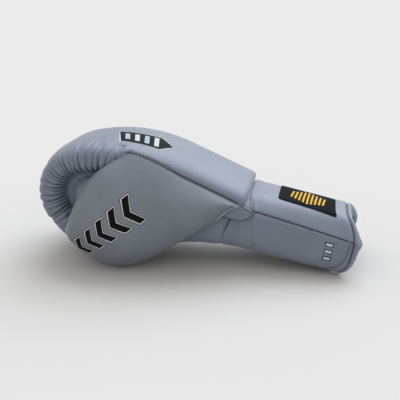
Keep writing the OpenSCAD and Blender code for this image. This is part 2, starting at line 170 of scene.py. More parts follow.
@dataclass(frozen=True)
class FistForm:
    """The padded fist's surface, in mm, before it is set on the table."""

    tilt: float = 23.0
    width: float = 112.0
    width_shares: tuple[float, float, float, float] = (0.88, 1.0, 0.98, 0.84)
    back_run: float = 76.0
    rise_run: float = 73.0
    top_run: float = 32.0
    front_run: float = 70.0
    finger_run: float = 34.0
    curl_run: float = 38.0
    tip_run: float = 48.0
    pad_wrist: float = 28.0
    pad_knuckle: float = 32.0
    pad_tip: float = 24.0
    end_r: float = 6.0
    rest_flat: float = 1.2
    start: tuple[float, float] = (56.0, 77.0)
    seam_th: float = 178.0
    corner_th: float = 144.0
    inner_near_th: float = 235.0
    inner_far_th: float = -65.0
    square: float = 3.0

    @cached_property
    def chain(self) -> ArcChain:
        """Back line of the fist.

        Returns:
            The line from the wrist over the knuckles to the fingertips.
        """
        return ArcChain(((self.back_run, 0.0), (self.rise_run, self.tilt + 1.0), (self.top_run, 10.0),
                         (self.front_run, 80.0), (self.finger_run, 38.0), (self.curl_run, 12.0),
                         (self.tip_run, 50.0)), self.start, 180.0 - self.tilt)

    @cached_property
    def length(self) -> float:
        """Length of the back line."""
        return self.chain.length

    @cached_property
    def knuckle(self) -> float:
        """Distance of the knuckles along the back line."""
        return self.back_run + self.rise_run

    @cached_property
    def front(self) -> float:
        """Distance of the foremost point along the back line."""
        return self.knuckle + self.top_run + self.front_run

    @cached_property
    def seam_end(self) -> float:
        """Distance where the thumb seam ends."""
        return self.back_run + 0.62 * self.rise_run

    @cached_property
    def gather_start(self) -> float:
        """Distance where the gathers begin."""
        return self.seam_end + 34.0

    @cached_property
    def gather_end(self) -> float:
        """Distance where the gathers end."""
        return self.front + self.finger_run + self.curl_run * 0.6

    @cached_property
    def floor(self) -> float:
        """Height of the table below the start line."""
        d = np.arange(self.length - self.tip_run, self.length + 0.1, 2.0)
        return float(self.chain.at(d)[1].min()) + self.rest_flat

    def half(self, s: Array) -> Array:
        """Half width at a distance."""
        places = (0.0, self.knuckle, self.front, self.length)
        return self.width / 2 * profile(s, list(zip(places, self.width_shares)))

    def pad(self, s: Array) -> Array:
        """Pad thickness at a distance."""
        thick = ((0.0, self.pad_wrist), (self.knuckle, self.pad_knuckle), (self.front, self.pad_knuckle))
        return profile(s, [*thick, (self.length, self.pad_tip)])

    def end_round(self, s: Array) -> Array:
        """How far the surface falls in at the two rounded ends."""
        x = np.clip(1 - np.minimum(s, self.length - s) / self.end_r, 0.0, 1.0)
        return self.end_r * (1 - np.sqrt(np.clip(1 - x * x, 0, 1))) * 0.8

    def near_th(self, s: Array) -> Array:
        """Angle of the leather's near edge: the thumb seam, then the inner seam of the gathers.

        Args:
            s: Distance along the back line.

        Returns:
            Angle round the section in degrees.
        """
        hand = np.interp(s, [0, self.back_run * 0.85, self.seam_end],
                         [self.seam_th, self.seam_th - 9, self.corner_th])
        roll = profile(s, [(self.seam_end, self.corner_th), (self.gather_start, self.inner_near_th)])
        return np.where(s < self.seam_end, hand, roll)

    def surface(self, s: Array, th: Array, depth: Array) -> Array:
        """Points on the fist.

        Args:
            s: Distance along the back line.
            th: Angle round the section in degrees, 90 at the crown.
            depth: Depth below the skin.

        Returns:
            Points with a last axis of X, Y and Z.
        """
        x, z, a = self.chain.at(s)
        half_t, e, r = self.pad(s) / 2, depth + self.end_round(s), np.radians(th)
        y = (self.half(s) - e) * signed_power(np.cos(r), 2 / self.square)
        h = -half_t + (half_t - e) * signed_power(np.sin(r), 2 / self.square)
        lowest = self.floor + np.maximum(depth, 0.0)
        return points(x + np.sin(a) * h, y, np.maximum(z - np.cos(a) * h, lowest))

    def inner(self, s: Array) -> tuple[Array, Array]:
        """X and Z of the pad's inner face."""
        x, z, a = self.chain.at(s)
        return x - self.pad(s) * np.sin(a), z + self.pad(s) * np.cos(a)


@dataclass(frozen=True)
class PocketForm:
    """The hand pocket below the pad."""

    fist: FistForm
    inset_near: float = 2.5
    inset_far: float = 7.0
    start: float = 5.0
    gap: float = 0.4

    @cached_property
    def end(self) -> float:
        """Distance where the pocket opens into the finger pocket."""
        return self.fist.knuckle - 14.0

    @cached_property
    def heel(self) -> tuple[float, float]:
        """X and Z of the palm at the wrist."""
        return self.fist.start[0] - 17.0, self.fist.start[1] - 58.0

    @cached_property
    def front(self) -> tuple[float, float]:
        """X and Z of the palm at the fingertips."""
        return self.fist.start[0] - 122.0, self.fist.floor + 14.0

    def palm_z(self, x: Array) -> Array:
        """Height of the palm."""
        return mix(self.front[1], self.heel[1], ease((x - self.front[0]) / (self.heel[0] - self.front[0])))

    def surface(self, s: Array, th: Array, depth: Array) -> Array:
        """Points on the pocket's wall.

        Args:
            s: Distance along the back line.
            th: Angle round the section in degrees, 270 at the palm.
            depth: Depth inside the wall.

        Returns:
            Points with a last axis of X, Y and Z.
        """
        px, pz = self.fist.inner(s)
        top, r = pz - self.gap, np.radians(th)
        bottom = self.palm_z(px)
        mid, half = (top + bottom) / 2, (top - bottom) / 2 - depth
        inset = np.where(np.cos(r) < 0, self.inset_near, self.inset_far)
        lean = math.sin(math.radians(self.fist.tilt)) * (1 - (s - self.start) / (self.end - self.start))
        v = half * signed_power(np.sin(r), 2 / 3)
        y = (self.fist.half(s) - inset - depth) * signed_power(np.cos(r), 2 / 3)
        return points(px - (top - mid - v) * lean, y, mid + v)


@dataclass(frozen=True)
class ThumbForm:
    """The leaf-shaped thumb between its top line and its bottom line."""

    fist: FistForm
    bulge: float = 32.0
    edge_run: float = 77.0
    heading: float = 230.0
    seam_start: float = 5.0
    seam_part: float = 0.5
    tuck: tuple[float, float, float] = (0.0, 0.5, 0.8)
    lift: float = 1.2
    bow: float = 8.8

    @cached_property
    def edge_y(self) -> float:
        """Y of the free edge."""
        return -self.fist.width / 2 - 3.5

    @cached_property
    def inner_y(self) -> float:
        """Y of the flat side next to the fist."""
        return -self.fist.width / 2 - 0.8

    @cached_property
    def edge(self) -> ArcChain:
        """Bottom line of the thumb.

        Returns:
            The line from the wrist to the tip, just clear of the table.
        """
        pieces = ((38.0, -14.0), (self.edge_run, -6.0), (50.0, -58.0), (44.0, -46.0))
        rough = ArcChain(pieces, (0.0, 0.0), self.heading)
        fall = -float(rough.at(np.arange(0, rough.length + 1, 4.0))[1].min())
        start = float(self.seam(np.array(self.seam_start))[0]), self.fist.floor + self.lift + fall
        return ArcChain(pieces, start, self.heading)

    def seam(self, s: Array) -> Array:
        """Points of the seam between the back of the hand and the thumb."""
        return self.fist.surface(s, self.fist.near_th(s), np.zeros(np.shape(s)))

    def top(self, u: Array) -> Array:
        """Points of the top line: the seam, then the free edge down to the tip.

        Args:
            u: Share of the way along the leaf.

        Returns:
            Points with a last axis of X, Y and Z.
        """
        on_seam = self.seam(mix(self.seam_start, self.fist.seam_end, np.clip(u / self.seam_part, 0, 1)))
        on_seam = on_seam - np.array(self.tuck)
        corner = self.seam(np.array(self.fist.seam_end))
        edge = self.edge
        tx, tz, _ = edge.at(np.array(edge.length))
        t = np.clip((u - self.seam_part) / (1 - self.seam_part), 0, 1)
        bow = self.bow * np.sin(np.pi * t)
        free = points(mix(corner[0], tx, t) - bow, mix(corner[1] - self.tuck[1], self.edge_y, ease(t * 4)),
                      mix(corner[2] - self.tuck[2], tz, t) + bow)
        return np.where((u <= self.seam_part)[..., None], on_seam, free)

    def low(self, u: Array) -> Array:
        """Points of the bottom line, which begins just below the top line.

        Args:
            u: Share of the way along the leaf.

        Returns:
            Points with a last axis of X, Y and Z.
        """
        edge = self.edge
        x, z, _ = edge.at(edge.length * u)
        apex = self.seam(np.array(self.seam_start))
        line = points(x, mix(apex[1] - 3, self.edge_y, ease(u * 3)), z)
        return mix(apex - np.array(self.tuck) - np.array([0.0, 0.4, 1.5]), line, ease(u / 0.09)[..., None])

    def swell(self, u: Array) -> Array:
        """How far the outer skin stands out."""
        return self.bulge * profile(u, [(0, 0.16), (0.25, 0.55), (0.62, 1.0), (0.86, 0.8), (1.0, 0.3)])

    def skin(self, u: Array, v: Array) -> Array:
        """Points of the outer skin.

        Args:
            u: Share of the way along the leaf.
            v: Share of the way from the top line to the bottom line.

        Returns:
            Points with a last axis of X, Y and Z.
        """
        p = mix(self.top(u), self.low(u), v[..., None])
        soft = 0.7 + 0.22 * (1 - ease((u - 0.42) / 0.2)) * (v < 0.5)
        y = p[..., 1] - self.swell(u) * np.sin(np.pi * v) ** soft
        return points(p[..., 0], y, np.maximum(p[..., 2], self.fist.floor + 1))

    def inside(self, u: Array, v: Array) -> Array:
        """Points of the flat side, kept inside the outer skin.

        Args:
            u: Share of the way along the leaf.
            v: Share of the way from the top line to the bottom line.

        Returns:
            Points with a last axis of X, Y and Z.
        """
        p = mix(self.top(u), self.low(u), v[..., None])
        y = np.minimum(p[..., 1] + 1.5 * np.sin(np.pi * v), self.inner_y)
        y = np.maximum(y, self.skin(u, v)[..., 1] + 1.2)
        return points(p[..., 0], y, np.maximum(p[..., 2], self.fist.floor + 1.5))


@dataclass(frozen=True)
class CuffForm:
    """The cuff's surface in its own frame: along from the wrist hinge, across, and up."""

    fist: FistForm
    length: float = 106.0
    width: float = 88.0
    height: float = 56.0
    pad: float = 9.0
    wrist_step: float = 6.0
    flex: float = 15.0
    leather: float = 1.6
    end_back: float = 11.0
    binding: float = 6.0
    square: float = 4.0
    bevel_y: tuple[float, float] = (30.0, 26.0)
    bevel_slope: tuple[float, float] = (0.72, 1.0)
    bevel_round: float = 2.0
    seam_th: tuple[float, float] = (25.0, 14.0)
    flap_inset: float = 14.0

    @cached_property
    def hinge(self) -> tuple[float, float]:
        """X and Z of the wrist hinge."""
        return self.fist.start[0] - 2.0, self.fist.start[1] - self.wrist_step

    @cached_property
    def tilt(self) -> float:
        """Slope of the cuff.

        Returns:
            Angle in radians that brings the open end down to the table.
        """
        rest = self.length - self.end_back + self.binding / 2
        return (math.asin((self.hinge[1] - self.fist.floor) / math.hypot(rest, self.height))
                - math.atan2(self.height, rest))

    @cached_property
    def inside(self) -> float:
        """Depth of the padding's inner face."""
        return self.leather + 0.4 + self.pad

    def place(self, along: Array, y: Array, up: Array) -> Array:
        """Points of the cuff's frame in the glove's frame."""
        c, s = math.cos(self.tilt), math.sin(self.tilt)
        return points(self.hinge[0] + along * c + up * s, y, self.hinge[1] - along * s + up * c)

    def across(self, th: Array, depth: Array) -> Array:
        """Y on the section."""
        return (self.width / 2 - depth) * signed_power(np.cos(np.radians(th)), 2 / self.square)

    def up(self, th: Array, depth: Array) -> Array:
        """Height on the section, 0 at the back of the cuff."""
        h = self.height / 2
        return -h + (h - depth) * signed_power(np.sin(np.radians(th)), 2 / self.square)

    def bevelled(self, f: Array, y: Array, up: Array, depth: Array) -> Array:
        """Lower the back's two shoulders to a slope that grows towards the open end.

        Args:
            f: Share of the way from the wrist edge to the open end.
            y: Place across the cuff.
            up: Height without the bevel.
            depth: Depth below the skin.

        Returns:
            Height with the bevel, rounded where the two meet.
        """
        slope = -depth - mix(*self.bevel_slope, f) * (np.abs(y) - mix(*self.bevel_y, f))
        k = self.bevel_round
        return -np.log(np.exp(-np.clip(up, -60, 5) / k) + np.exp(-np.clip(slope, -60, 40) / k)) * k

    def start(self, up: Array) -> Array:
        """Distance of the wrist edge, cut back below the hinge."""
        return 0.6 + math.tan(math.radians(self.flex + 2)) * np.maximum(0, -up)

    def end(self, up: Array) -> Array:
        """Distance of the open end, rounded back at its top and bottom."""
        return self.length - self.end_back * np.abs(1 + 2 * up / self.height) ** 3

    def back_th(self, f: Array) -> Array:
        """Angle of the far seam of the back panel."""
        return mix(*self.seam_th, f)

    @cached_property
    def flap_y(self) -> float:
        """Y of the lines where the lacing flaps begin."""
        return self.width / 2 - self.flap_inset

    def flap_th(self, depth: float) -> float:
        """Angle of that line at a depth."""
        return -math.degrees(math.acos((self.flap_y / (self.width / 2 - depth)) ** (self.square / 2)))

    def surface(self, f: Array, th: Array, depth: Array) -> Array:
        """Points on the cuff.

        Args:
            f: Share of the way from the wrist edge to the open end.
            th: Angle round the section in degrees, 90 at the back of the cuff.
            depth: Depth below the skin.

        Returns:
            Points with a last axis of X, Y and Z.
        """
        y = self.across(th, depth)
        up = self.bevelled(f, y, self.up(th, depth), depth)
        skin = self.bevelled(f, self.across(th, 0.0 * depth), self.up(th, 0.0 * depth), 0.0 * depth)
        return self.place(mix(self.start(up), self.end(skin), f), y, up)


FIST = FistForm()
POCKET = PocketForm(FIST)
THUMB = ThumbForm(FIST)
CUFF = CuffForm(FIST)


@dataclass(frozen=True)
class TableFrame:
    """Middle of the glove's footprint and the table's height, in the forms' own frame, in mm."""

    origin: tuple[float, float, float] = (1.5934, -17.2282, -2.1485)

    def row(self, p: Array) -> Array:
        """Set points of the forms on the table, in metres."""
        return (p - np.array(self.origin)) * MM


TABLE = TableFrame()


def shade(colour: Colour, k: float) -> Colour:
    """Make a colour lighter or darker."""
    return tuple(k * c for c in colour)


def set_inputs(node: bpy.types.Node, values: dict[str, float | tuple[float, ...]]) -> None:
    """Set a node's inputs by name."""
    for name, value in values.items():
        node.inputs[name].default_value = value


def start_material(name: str) -> tuple[bpy.types.Material, bpy.types.Node]:
    """Start a node material.

    Args:
        name: Name of the material.

    Returns:
        The material and its surface shader.
    """
    mat = bpy.data.materials.new(name)
    mat.use_nodes = True
    return mat, mat.node_tree.nodes["Principled BSDF"]


def add_node(mat: bpy.types.Material, kind: str, values: dict[str, float] | None = None) -> bpy.types.Node:
    """Add a node to a material.

    Args:
        mat: The material.
        kind: The node's type, after the words that all of them share.
        values: Values of its inputs by name.

    Returns:
        The node.
    """
    node = mat.node_tree.nodes.new(f"ShaderNode{kind}")
    set_inputs(node, values or {})
    return node


def add_ramp(mat: bpy.types.Material, low: ColourStop, high: ColourStop) -> bpy.types.Node:
    """Add a ramp between two colours.

    Args:
        mat: The material.
        low: Place and colour of its first stop.
        high: Place and colour of its last stop.

    Returns:
        The node.
    """
    node = add_node(mat, "ValToRGB")
    for stop, (place, colour) in zip(node.color_ramp.elements, (low, high)):
        stop.position, stop.color = place, (*colour, 1)
    return node


def join(mat: bpy.types.Material, *links: tuple[bpy.types.Node, str, bpy.types.Node, str]) -> None:
    """Link outputs to inputs, each link a node, its output, the next node and its input."""
    for node, output, goal, entry in links:
        mat.node_tree.links.new(node.outputs[output], goal.inputs[entry])


@dataclass(frozen=True)
class LeatherFinish:
    """Smooth leather with a fine grain and a faint change of tone, with painted shade in its creases and
    lighter ridges that are partly edge wear and partly painted highlight.
    """

    name: str
    colour: Colour
    roughness: float = 0.46
    grain: float = 0.10
    crumple: float = 0.12
    tone: float = 0.10
    cloud_scale: float = 26.0
    pore_scale: float = 900.0
    fold_scale: float = 150.0
    # Tints multiplied in by Pointiness: painted shade in the creases, and on the ridges a lighter tone that
    # is partly edge wear and partly painted highlight.
    crease_shade_tint: Colour = (0.62, 0.62, 0.64)
    ridge_wear_highlight_tint: Colour = (1.10, 1.10, 1.09)

    def make(self) -> bpy.types.Material:
        """Build the material.

        Returns:
            A node material.
        """
        mat, shader = start_material(self.name)
        place, shape = add_node(mat, "TexCoord"), add_node(mat, "NewGeometry")
        cloud = add_node(mat, "TexNoise", {"Scale": self.cloud_scale, "Detail": 3.0})
        pores = add_node(mat, "TexVoronoi", {"Scale": self.pore_scale})
        folds = add_node(mat, "TexNoise", {"Scale": self.fold_scale, "Detail": 5.0})
        dark, light = shade(self.colour, 1 - self.tone), shade(self.colour, 1 + self.tone)
        tone = add_ramp(mat, (0.3, dark), (0.7, light))
        # Painted shade: the colour darkens where Pointiness is low, in the creases, and lightens on the
        # ridges, as edge wear with a painted highlight.
        painted_shade_and_wear = add_ramp(mat, (0.44, self.crease_shade_tint), (0.56, self.ridge_wear_highlight_tint))
        fine = add_node(mat, "Bump", {"Strength": self.grain, "Distance": 0.0002})
        broad = add_node(mat, "Bump", {"Strength": self.crumple, "Distance": 0.0008})
        shade_and_wear_mix = add_node(mat, "MixRGB", {"Fac": 1.0})
        shade_and_wear_mix.blend_type = "MULTIPLY"
        join(mat, *((place, "Object", node, "Vector") for node in (cloud, pores, folds)))
        join(mat, (cloud, "Fac", tone, "Fac"), (shape, "Pointiness", painted_shade_and_wear, "Fac"),
             (tone, "Color", shade_and_wear_mix, "Color1"), (painted_shade_and_wear, "Color", shade_and_wear_mix, "Color2"),
             (shade_and_wear_mix, "Color", shader, "Base Color"),
             (pores, "Distance", fine, "Height"), (folds, "Fac", broad, "Height"),
             (fine, "Normal", broad, "Normal"), (broad, "Normal", shader, "Normal"))
        set_inputs(shader, {"Roughness": self.roughness, "Specular IOR Level": 0.42,
                            "Sheen Weight": 0.08, "Sheen Roughness": 0.5})
        return mat


@dataclass(frozen=True)
class ClothFinish:
    """Plain woven cloth."""

    name: str
    colour: Colour
    threads: float = 900.0
    roughness: float = 0.85
    tone: float = 0.16

    def make(self) -> bpy.types.Material:
        """Build the material.

        Returns:
            A node material.
        """
        mat, shader = start_material(self.name)
        place = add_node(mat, "TexCoord")
        weave = add_node(mat, "TexWave", {"Scale": self.threads, "Distortion": 1.0})
        dark, light = shade(self.colour, 1 - self.tone), shade(self.colour, 1 + self.tone)
        tone = add_ramp(mat, (0.0, dark), (1.0, light))
        bump = add_node(mat, "Bump", {"Strength": 0.25, "Distance": 0.0003})
        join(mat, (place, "Object", weave, "Vector"),
             (weave, "Fac", tone, "Fac"), (tone, "Color", shader, "Base Color"),
             (weave, "Fac", bump, "Height"), (bump, "Normal", shader, "Normal"))
        set_inputs(shader, {"Roughness": self.roughness, "Specular IOR Level": 0.05})
        return mat


@dataclass(frozen=True)
class PlainFinish:
    """Thread, print or the floor: one colour, with a fine unevenness where it has a grain."""

    name: str
    colour: Colour
    roughness: float = 0.6
    gloss: float = 0.15
    grain: float = 0.2
    scale: float = 700.0

    def make(self) -> bpy.types.Material:
        """Build the material.

        Returns:
            A node material.
        """
        mat, shader = start_material(self.name)
        set_inputs(shader, {"Base Color": (*self.colour, 1), "Roughness": self.roughness,
                            "Specular IOR Level": self.gloss})
        if self.grain > 0:
            place = add_node(mat, "TexCoord")
            specks = add_node(mat, "TexNoise", {"Scale": self.scale, "Detail": 4.0})
            dark, light = shade(self.colour, 1 - self.grain), shade(self.colour, 1 + self.grain)
            tone = add_ramp(mat, (0.3, dark), (0.7, light))
            bump = add_node(mat, "Bump", {"Strength": 0.3, "Distance": 0.0002})
            join(mat, (place, "Object", specks, "Vector"),
                 (specks, "Fac", tone, "Fac"), (tone, "Color", shader, "Base Color"),
                 (specks, "Fac", bump, "Height"), (bump, "Normal", shader, "Normal"))
        return mat


Finish = LeatherFinish | ClothFinish | PlainFinish


@dataclass
class Palette:
    """Every finish of the glove, each made once."""

    # The two grey leathers are one leather lit two ways: the main copy has extra blue painted in for the sky
    # light on the back and cuff, and the thumb's copy has less of it.
    leather: Finish = LeatherFinish("grey_leather", (0.184, 0.210, 0.264))
    thumb: Finish = LeatherFinish("grey_leather_thumb_less_sky_blue", (0.182, 0.204, 0.236))
    # Dark leather for the thin lines at the thumb seam and the hem, and for the painted shadow line along the
    # wrist fold's edge.
    crease: Finish = LeatherFinish("grey_leather_seam", (0.075, 0.080, 0.095), 0.7)
    # The welt's leather is lighter than the rest: partly the piping's paler leather, partly a painted
    # highlight along it.
    welt: Finish = LeatherFinish("grey_leather_welt_highlight", (0.30, 0.315, 0.345), 0.5)
    lining: Finish = ClothFinish("lining_cloth", (0.055, 0.057, 0.063))
    stay: Finish = ClothFinish("stay_cloth", (0.07, 0.07, 0.075))
    woven: Finish = ClothFinish("label_weave", (0.004, 0.006, 0.008), 1500.0, 0.75)
    gold: Finish = ClothFinish("label_gold", (0.62, 0.37, 0.045), 1500.0, 0.5)
    dark_thread: Finish = PlainFinish("dark_thread", (0.028, 0.029, 0.034), 0.7)
    band_thread: Finish = PlainFinish("band_thread", (0.46, 0.48, 0.53), 0.6)
    grey_thread: Finish = PlainFinish("grey_thread", (0.50, 0.52, 0.57), 0.6)
    ink: Finish = PlainFinish("black_print", (0.006, 0.006, 0.007), 0.6, 0.05, 0.3)
    white: Finish = PlainFinish("white_print", (0.50, 0.515, 0.53), 0.45, 0.15, 0.07)
    pale: Finish = PlainFinish("pale_blue_print", (0.30, 0.42, 0.48), 0.45, 0.15, 0.08)
    floor: Finish = PlainFinish("pale_floor", (0.594, 0.580, 0.551), 1.0, 0.0, 0.0)
    made: dict[str, bpy.types.Material] = field(default_factory=dict)

    def get(self, finish: Finish) -> bpy.types.Material:
        """Give the material of a finish.

        Args:
            finish: The finish.

        Returns:
            Its material, made at the first call.
        """
        if finish.name not in self.made:
            self.made[finish.name] = finish.make()
        return self.made[finish.name]


PALETTE = Palette()


def make_piece(name: str, verts: Array, faces: Sequence[Sequence[int]], finishes: Sequence[Finish],
               marks: Sequence[int] | None = None) -> bpy.types.Object:
    """Make one smooth mesh piece.

    Args:
        name: Name of the piece.
        verts: Points in metres, in the row frame.
        faces: Corners of each face.
        finishes: The finishes that the faces use.
        marks: Which finish each face takes, or none for the first.

    Returns:
        The object, with its faces turned outwards.
    """
    mesh = bpy.data.meshes.new(name)
    mesh.from_pydata(np.asarray(verts, float).reshape(-1, 3).tolist(), [], [tuple(f) for f in faces])
    mesh.polygons.foreach_set("use_smooth", [True] * len(mesh.polygons))
    if marks is not None:
        mesh.polygons.foreach_set("material_index", list(marks))
    for finish in finishes:
        mesh.materials.append(PALETTE.get(finish))
    shape = bmesh.new()
    shape.from_mesh(mesh)
    bmesh.ops.recalc_face_normals(shape, faces=shape.faces)
    shape.to_mesh(mesh)
    shape.free()
    piece = bpy.data.objects.new(name, mesh)
    bpy.context.scene.collection.objects.link(piece)
    return piece


def grid_faces(rows: int, cols: int, wrap: bool = False, first: int = 0) -> Faces:
    """List the quads of a grid of points.

    Args:
        rows: Rows of points.
        cols: Points in a row.
        wrap: Whether each row closes on itself.
        first: Index of the first point.

    Returns:
        Corners of each quad.
    """
    out = []
    for i in range(rows - 1):
        for j in range(cols if wrap else cols - 1):
            a, b = i * cols + j, i * cols + (j + 1) % cols
            out.append((first + a, first + b, first + b + cols, first + a + cols))
    return out


def closed_loft(rings: Array) -> tuple[Array, Faces]:
    """Join rings of points into one closed body.

    Args:
        rings: Points as [ring, point, xyz].

    Returns:
        Points and faces. Each end is closed across the ring, from its first half to its second half.
    """
    n, m = rings.shape[:2]
    faces = grid_faces(n, m, wrap=True)
    for base in (0, (n - 1) * m):
        rungs = [(j, j + 1, m - 2 - j, m - 1 - j) for j in range(m // 2 - 1 + m % 2)]
        faces += [tuple(base + i for i in dict.fromkeys(rung)) for rung in rungs]
    return rings.reshape(-1, 3), faces


def distances(path: Array) -> Array:
    """Distance of each point of a path from its first point, along the path."""
    return np.concatenate([[0], np.cumsum(np.linalg.norm(np.diff(path, axis=0), axis=1))])


def facing(path: Array, across: Array, outward: Array) -> Array:
    """Unit normals along a path.

    Args:
        path: Points along the path.
        across: A direction in the surface at each point.
        outward: A direction on the outer side at each point.

    Returns:
        Normals on the outer side.
    """
    n = np.cross(np.gradient(path, axis=0), across)
    n /= np.linalg.norm(n, axis=1, keepdims=True) + 1e-12
    return n * np.sign(np.sum(n * outward, axis=1, keepdims=True) + 1e-12)


@dataclass(frozen=True)
class Stitching:
    """A row of stitches, in mm."""

    pitch: float
    length: float
    radius: float
    lift: float
    sides: int = 6

    def sew(self, name: str, path: Array, normals: Array, finish: Finish) -> bpy.types.Object:
        """Sew along a path.

        Args:
            name: Name of the piece.
            path: Points in the forms' frame, in mm.
            normals: Outer direction at each point.
            finish: The thread.

        Returns:
            One piece with every stitch of the row.
        """
        run = distances(path)
        verts, faces = [], []
        stations = np.array([-1.0, -0.72, 0.0, 0.72, 1.0])
        sizes = np.array([0.35, 0.85, 1.0, 0.85, 0.35])
        turn = 2 * np.pi * np.arange(self.sides) / self.sides
        # Each stitch is a short round bar whose ends dip into the leather.
        for c in np.arange(self.pitch / 2, run[-1] - self.pitch / 2, self.pitch):
            d = c + stations * self.length / 2
            p = np.stack([np.interp(d, run, path[:, k]) for k in range(3)], axis=1)
            n = np.stack([np.interp(d, run, normals[:, k]) for k in range(3)], axis=1)
            t = p[-1] - p[0]
            t /= np.linalg.norm(t)
            b = np.cross(t, n)
            p = p + n * (self.lift - 0.5 * self.radius * stations[:, None] ** 2)
            ring = (p[:, None] + self.radius * sizes[:, None, None]
                    * (np.cos(turn)[None, :, None] * b[:, None] + np.sin(turn)[None, :, None] * n[:, None]))
            v, f = closed_loft(ring)
            first = sum(len(x) for x in verts)
            verts.append(v)
            faces += [tuple(first + i for i in face) for face in f]
        return make_piece(name, TABLE.row(np.concatenate(verts)), faces, [finish])


def tube(path: Array, radius: Array, sides: int = 10) -> tuple[Array, Faces]:
    """Make a closed round tube along a path.

    Args:
        path: Points along the middle.
        radius: Radius at each point.
        sides: Corners of the section.

    Returns:
        Points and faces.
    """
    t = np.gradient(path, axis=0)
    t /= np.linalg.norm(t, axis=1, keepdims=True)
    a = np.cross(t, np.array([0.0, 0.0, 1.0]))
    a /= np.linalg.norm(a, axis=1, keepdims=True) + 1e-9
    b = np.cross(t, a)
    turn = 2 * np.pi * np.arange(sides) / sides
    ring = path[:, None] + radius[:, None, None] * (np.cos(turn)[None, :, None] * a[:, None]
                                                    + np.sin(turn)[None, :, None] * b[:, None])
    return closed_loft(ring)


@dataclass(frozen=True)
class PrintBlock:
    """One four-cornered block of a print, in mm on the flat."""

    corners: Sequence[tuple[float, float]]
    finish: Finish
    height: float

    def flat(self, rows: int = 5, cols: int = 9) -> Array:
        """Points of the block on the flat.

        Args:
            rows: Points across the block.
            cols: Points along the block.

        Returns:
            Points as [row, point, place], with the height as the last of each place.
        """
        c = np.array(self.corners)
        u, v = np.linspace(0, 1, cols)[None, :, None], np.linspace(0, 1, rows)[:, None, None]
        p = mix(mix(c[0], c[1], u), mix(c[3], c[2], u), v)
        return np.concatenate([p, np.full(p.shape[:2] + (1,), self.height)], axis=2)


def print_piece(name: str, blocks: Sequence[PrintBlock], lay: Callable[[Array], Array]) -> bpy.types.Object:
    """Lay print blocks on a surface.

    Args:
        name: Name of the piece.
        blocks: The blocks, lowest first.
        lay: Turns flat points with a height into points of the forms' frame.

    Returns:
        One piece with every block.
    """
    verts, faces, marks = [], [], []
    finishes = list(dict.fromkeys(b.finish for b in blocks))
    for block in blocks:
        p = block.flat()
        first = sum(len(v) for v in verts)
        quads = grid_faces(p.shape[0], p.shape[1], first=first)
        verts.append(lay(p).reshape(-1, 3))
        faces += quads
        marks += [finishes.index(block.finish)] * len(quads)
    return make_piece(name, TABLE.row(np.concatenate(verts)), faces, finishes, marks)


def finish_node(name: str, finish: Finish) -> bpy.types.Object:
    """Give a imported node, which keeps its shape, a finish.

    Args:
        name: Name of the node.
        finish: Its finish.

    Returns:
        The node's object.
    """
    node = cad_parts[name]
    node.data.materials.clear()
    node.data.materials.append(PALETTE.get(finish))
    return node


@dataclass(frozen=True)
class FingerWall:
    """One dished leather wall inside the curl, in mm and degrees.

    Attributes:
        name: Name of the piece.
        node: The node that it replaces.
        side: -1 on the thumb side, 1 on the little-finger side.
        back: X of the wall's middle.
        stand: Distance of the wall from the middle of the hand.
        edge_th: Angle of its sewn edge, at the knuckles and at the fingertips.
        fullness: Size of its folds.
    """

    name: str
    node: str
    side: int
    back: float
    stand: float
    edge_th: tuple[float, float]
    fullness: float


@dataclass(frozen=True)
class PalmPanel:
    """One lined leather panel below the pad, in mm and degrees.

    Attributes:
        name: Name of the piece.
        nodes: The nodes that it replaces.
        first_th: Angle of its first edge.
        last_th: Angle of its last edge.
        puff: How far its middle stands out.
    """

    name: str
    nodes: tuple[str, ...]
    first_th: float
    last_th: float
    puff: float


